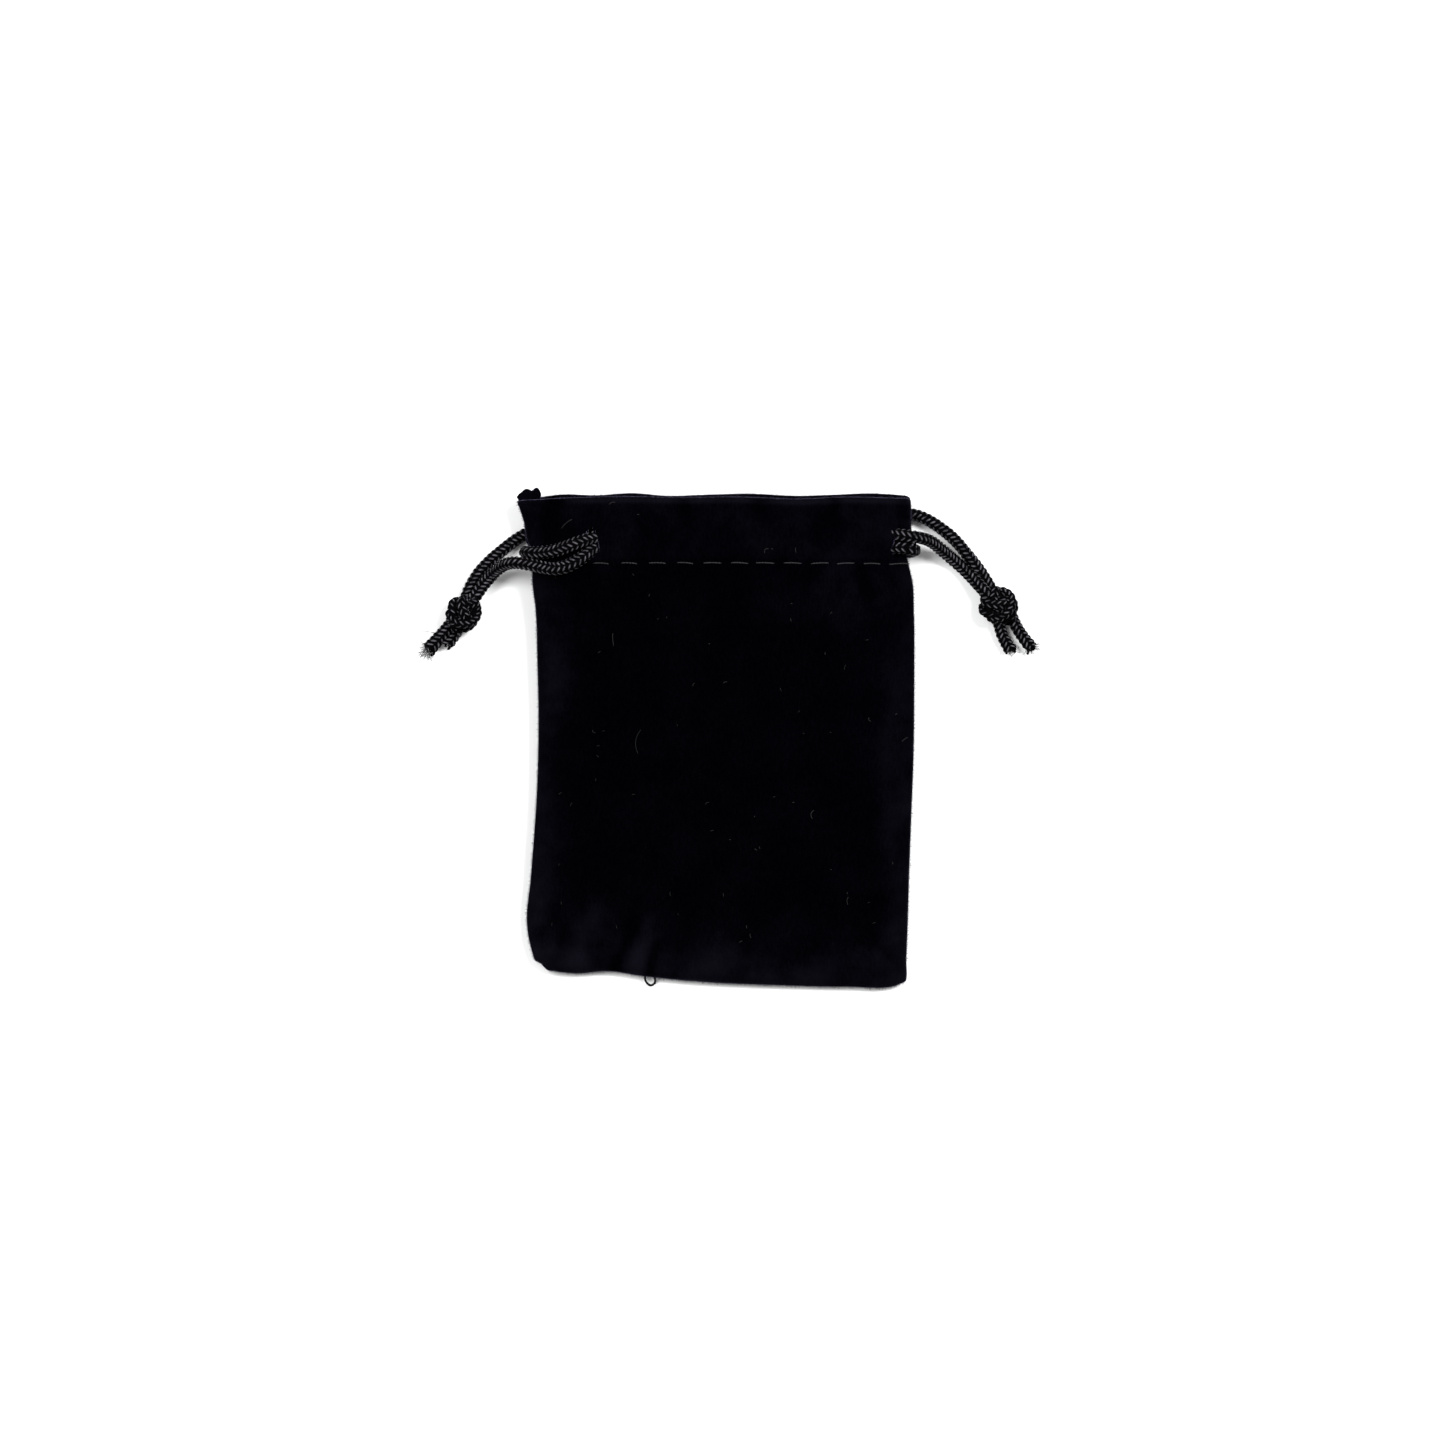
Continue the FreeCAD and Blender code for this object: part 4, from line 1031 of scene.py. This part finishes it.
def side_allowance(name, way):
    """One ply of the side seam, turned in. Its raw end stands above the mouth as an ear."""
    across = np.linspace(0, 1, 14)[None, :]
    up = np.linspace(0, 1, 150)[:, None]
    ragged = 0.1 * np.sin(9.0 * across + way) + 0.07 * np.sin(23.0 * across + 2 * way)
    ragged = ragged - (NOTCH * bell(across - 0.55, 0.09) if way > 0 else BACK_SHORTER)
    rounded = 1.7 * np.clip(1 - across / 0.38, 0, 1) ** 2 + 0.9 * np.clip(across - 0.8, 0, 1) / 0.2
    top = EAR_TOP + ragged - rounded
    y = EAR_LOW + (top - EAR_LOW) * up
    left = smooth(LEFT_EDGE, y) + TUCK * (1 - ramp(y, 42.0, 44.8)) - 0.15 + 0.5 * ramp(y, 44.8, 46)
    x = left + 0.35 + (ALLOWANCE - 1.3 * ramp(y, 40.0, 44.0)) * across
    x = x + 0.12 * np.sin(1.9 * y + 3 * way) * across
    curl = ramp(y, 43.5, 46.3) * way * (0.45 + 0.5 * np.sin(3.2 * across))
    z = edge_middle(y) + way * (PLY / 2 + 0.03) + curl + 0.06 * np.sin(0.9 * y + 4 * across)
    return grid_sheet(name, stacked(x, y, z), PLY)


def bottom_allowance(name, number):
    """One ply of the bottom seam, turned up inside the bag."""
    along = np.linspace(-27.0, 31.0, 90)[None, :]
    up = np.linspace(0, 1, 9)[:, None]
    depth = ALLOWANCE - 1.2 + 0.12 * np.sin(2.3 * along + number) + 0.08 * np.sin(5.1 * along)
    y = smooth(BOTTOM_EDGE, along) + TUCK + depth * up
    z = CLOTH + 0.3 + number * (PLY + 0.05) + 0.05 * np.sin(0.7 * along)
    return grid_sheet(name, stacked(along, y, z), PLY - 0.05)


THREAD_STEP, THREAD_TURN = 0.09, 1.1       # between its points, and for one turn of its plies


def twisted_thread(strands, line, radius=THREAD_RADIUS):
    """Sewing thread: two plies wound round each other along a line."""
    lay = Lay(resampled(np.asarray(line, float), THREAD_STEP))
    for number in range(2):
        angle = 2 * math.pi * lay.along / THREAD_TURN + number * math.pi
        out = np.cos(angle)[:, None] * lay.side + np.sin(angle)[:, None] * lay.up
        strands.thread(lay.points + 0.48 * radius * out, 0.56 * radius, 6)


def stitch_row(name, places, surface):
    """A row of lockstitches along the casing. Each comes up out of the velvet, lies on it and
    goes down again; no two lie quite alike."""
    strands = Strands()
    for x in places:
        half = STITCH_SHOWN / 2 + RNG.uniform(-0.2, 0.15)
        lean, shift = RNG.uniform(-0.16, 0.16), RNG.uniform(-0.1, 0.1)
        across = np.linspace(-1, 1, 13)
        xs = x + shift + half * across
        ys = STITCH_LINE + lean * across + 0.08 * np.cos(across * 2)
        zs = surface(xs, ys) + 0.6 * THREAD_RADIUS - 0.55 * np.abs(across) ** 9
        lying = stacked(xs, ys, zs)
        ends = lying[[0, -1]] + [(-0.06, 0, -0.5), (0.06, 0, -0.5)]
        twisted_thread(strands, np.concatenate([ends[:1], lying, ends[1:]]))
    return strands.build(name, THREAD)


# The rows of stitches: the first and last stitch's middle and their number, the face that they
# lie on, the half of the bag, and the CAD node that a row stands for.
STITCH_ROWS = {
    "front_stitches_left": ((-21.0, -0.5, 5), front_surface, -1, ["front_casing_stitches"]),
    "front_stitches_right": ((4.3, 33.8, 7), front_surface, 1, []),
    "back_stitches_left": ((-21.0, -0.5, 5), back_surface, -1, ["back_casing_stitches"]),
    "back_stitches_right": ((4.3, 28.8, 6), back_surface, 1, []),
}


def thread_loop():
    """A loose loop of the bottom seam's thread."""
    steering = [(-13.0, -43.5, 1.7), (-13.15, -44.5, 1.35), (-12.8, -45.4, 0.8),
                (-12.0, -45.95, 0.45), (-11.2, -45.5, 0.5), (-11.15, -44.7, 0.95),
                (-11.4, -43.8, 1.5)]
    strands = Strands()
    twisted_thread(strands, spline_line(steering), 0.23)
    return strands.build("loose_thread_loop", BLACK_THREAD)


SPECKS = 46

# Lint on the velvet: the middle of each fibre, its direction in degrees, its length and bow.
FIBRES = [
    (-27.4, 39.5, 40, 2.6, 0.2), (-18.8, 18.2, 94, 2.3, 0.1), (-14.0, -0.6, 83, 4.4, 0.7),
    (1.8, 10.3, 20, 0.7, 0.1), (35.0, -0.2, 35, 1.3, 0.1), (-4.0, 9.9, 60, 0.7, 0.1),
    (12.0, 9.0, 110, 0.6, 0.0), (23.9, 13.1, 75, 1.0, 0.1), (-8.3, -28.7, 95, 0.8, 0.1),
    (-26.6, -12.2, 60, 0.7, 0.1), (-22.4, 1.2, 150, 0.7, 0.1), (9.4, 34.4, 50, 1.1, 0.4),
    (14.8, 34.6, 95, 0.9, 0.1), (18.0, -14.0, 80, 1.6, 0.4), (24.5, -30.0, 88, 1.4, 0.2),
    (-1.5, -12.0, 30, 0.8, 0.2), (-19.0, 43.2, 20, 1.2, 0.2), (-20.3, 36.6, 75, 1.1, 0.3),
    (28.5, 3.5, 120, 0.8, 0.2), (6.5, -36.5, 100, 0.8, 0.1),
]


def lint():
    """Fibres and specks that lie on the velvet, in a piece for each half of the bag."""
    halves = []
    draw = np.random.default_rng(11)
    low, high = (-31, -40, 0, 0.25, 0.0), (34, 43, 180, 0.6, 0.1)
    fibres = FIBRES + [tuple(draw.uniform(low, high)) for _ in range(SPECKS)]
    for name, side in (("lint_left", -1), ("lint_right", 1)):
        strands = Strands()
        for x, y, angle, length, bow in fibres:
            if x * side < 0:
                continue
            way = np.array((math.cos(math.radians(angle)), math.sin(math.radians(angle))))
            share = np.linspace(-0.5, 0.5, 10)
            across = np.array((-way[1], way[0])) * bow
            places = (x, y) + share[:, None] * length * way + (1 - 4 * share**2)[:, None] * across
            z = front_surface(places[:, 0], places[:, 1]) + 0.1 + 0.12 * (share + 0.5)
            strands.thread(np.column_stack([places, z]), FIBRE_RADIUS, 4)
        halves.append(strands.build(name, LINT))
    return halves


FRINGE_STEP = 0.11            # from one tip of the pile to the next along the outline
ROOT = 0.1                    # how far in from the outline the tips start
BELOW_FACE = 0.9              # how far the cloth's middle is from its face at the mouth


def pile_fringe(name, side):
    """The pile's tips where they stand out past the cloth's outline."""
    strands = Strands()
    edge, overs = (LEFT_EDGE, (-33.0, 0.0)) if side < 0 else (RIGHT_EDGE, (0.0, 35.0))
    overs = np.arange(*overs, FRINGE_STEP)
    roots = [(smooth(edge, y) - side * ROOT, y, edge_middle(y), (side, 0, 0))
             for y in np.arange(-41.0, 44.0, FRINGE_STEP)]
    for line, way in ((BOTTOM_EDGE, -1), (BACK_TOP, 1), (FRONT_TOP, 1)):
        for x in overs:
            y = smooth(line, x) - way * ROOT
            if line is BOTTOM_EDGE:
                middle = edge_middle(y)
            elif line is BACK_TOP:
                middle = back_height(x, y - 0.5) + BELOW_FACE
            else:
                middle = front_height(x, y - 0.5) - BELOW_FACE
            roots.append((x, y, middle, (0, way, 0)))
    for x, y, middle, out in roots:
        root = np.array((x, y, middle + RNG.normal(0, 0.25)))
        way_out = unit(out + RNG.normal(0, 0.45, 3))
        tip = root + way_out * RNG.uniform(0.2, 0.5)
        strands.thread(np.linspace(root - way_out * ROOT, tip, 3), [0.04, 0.035, 0.015], 3)
    return strands.build(name, VELVET)


SIDE_PLIES = [side_allowance("side_ply_front", 1), side_allowance("side_ply_back", -1)]
BOTTOM_PLIES = [bottom_allowance("bottom_ply_lower", 0), bottom_allowance("bottom_ply_upper", 1)]
STITCHES = [(stitch_row(name, np.linspace(*places), surface), half, nodes)
            for name, (places, surface, half, nodes) in STITCH_ROWS.items()]
THREAD_LOOP = thread_loop()
LINT_PIECES = lint()
FRINGES = [pile_fringe("pile_fringe_left", -1), pile_fringe("pile_fringe_right", 1)]

# ---------------------------------------------------------------- bodies


def drawn(obj):
    """Bakes the placement of cloth or cord on one half of the bag into its mesh."""
    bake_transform(obj)


def declare_cords(side, made, knot_piece, tails):
    """A cord's stretches, knot and tails. The knot and tails ride on the cord's own body, and the
    stretches and the bight have their placement baked into their meshes."""
    body = f"{side}_drawcord"
    ends = {"knot": knot_piece, "tail_front": tails[0], "tail_back": tails[1]}
    for node_name, piece in ends.items():
        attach(piece, body)
        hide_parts(f"{side}_{node_name}")
    (front, _), (bight, _), (back, _) = made
    for obj in (front, back):
        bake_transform(obj)
    drawn(bight)
    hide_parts(f"{side}_cord")


declare_cords("left", LEFT, LEFT_KNOT, LEFT_TAILS)
declare_cords("right", RIGHT, RIGHT_KNOT, RIGHT_TAILS)


def declare(obj, slot, half, *nodes):
    """A piece and the CAD nodes that it stands for; slot is not used. With a half of -1 or 1 its
    placement is baked into its mesh, or with half 0 it rides on the pouch."""
    if half:
        drawn(obj)
    else:
        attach(obj, "pouch")
    if nodes:
        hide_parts(*nodes)


for name, half, width, plies, nodes in (
        ("velvet_front_left", -1, 0.0365, SIDE_PLIES[:1], ("front_panel", "front_hem")),
        ("velvet_right", 1, 0.074, BOTTOM_PLIES, ("side_fold",)),
        ("velvet_back_left", -1, 0.0365, SIDE_PLIES[1:], ("back_panel", "back_hem"))):
    declare(VELVETS[name], "velvet", half, *nodes)

declare(SIDE_PLIES[0], "velvet", -1, "side_seam_allowance")
declare(SIDE_PLIES[1], "velvet", -1)
declare(BOTTOM_PLIES[0], "velvet", 0, "bottom_seam_allowance")
declare(BOTTOM_PLIES[1], "velvet", 0)
for obj, half, nodes in STITCHES:
    declare(obj, "thread", half, *nodes)
declare(THREAD_LOOP, "thread", 0, "bottom_thread_loop")
for half, piece, fringe in zip((-1, 1), LINT_PIECES, FRINGES):
    declare(piece, "thread", half)
    declare(fringe, "velvet", half)

# A copy of the CAD's side seam stitches stands for them.
SEAM_STITCHES = linked("seam_stitches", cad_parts["side_seam_stitches"].data.copy())
declare(SEAM_STITCHES, "thread", -1, "side_seam_stitches")
for obj in (SEAM_STITCHES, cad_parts["bottom_seam_stitches"]):
    obj.data.materials.clear()
    obj.data.materials.append(THREAD)
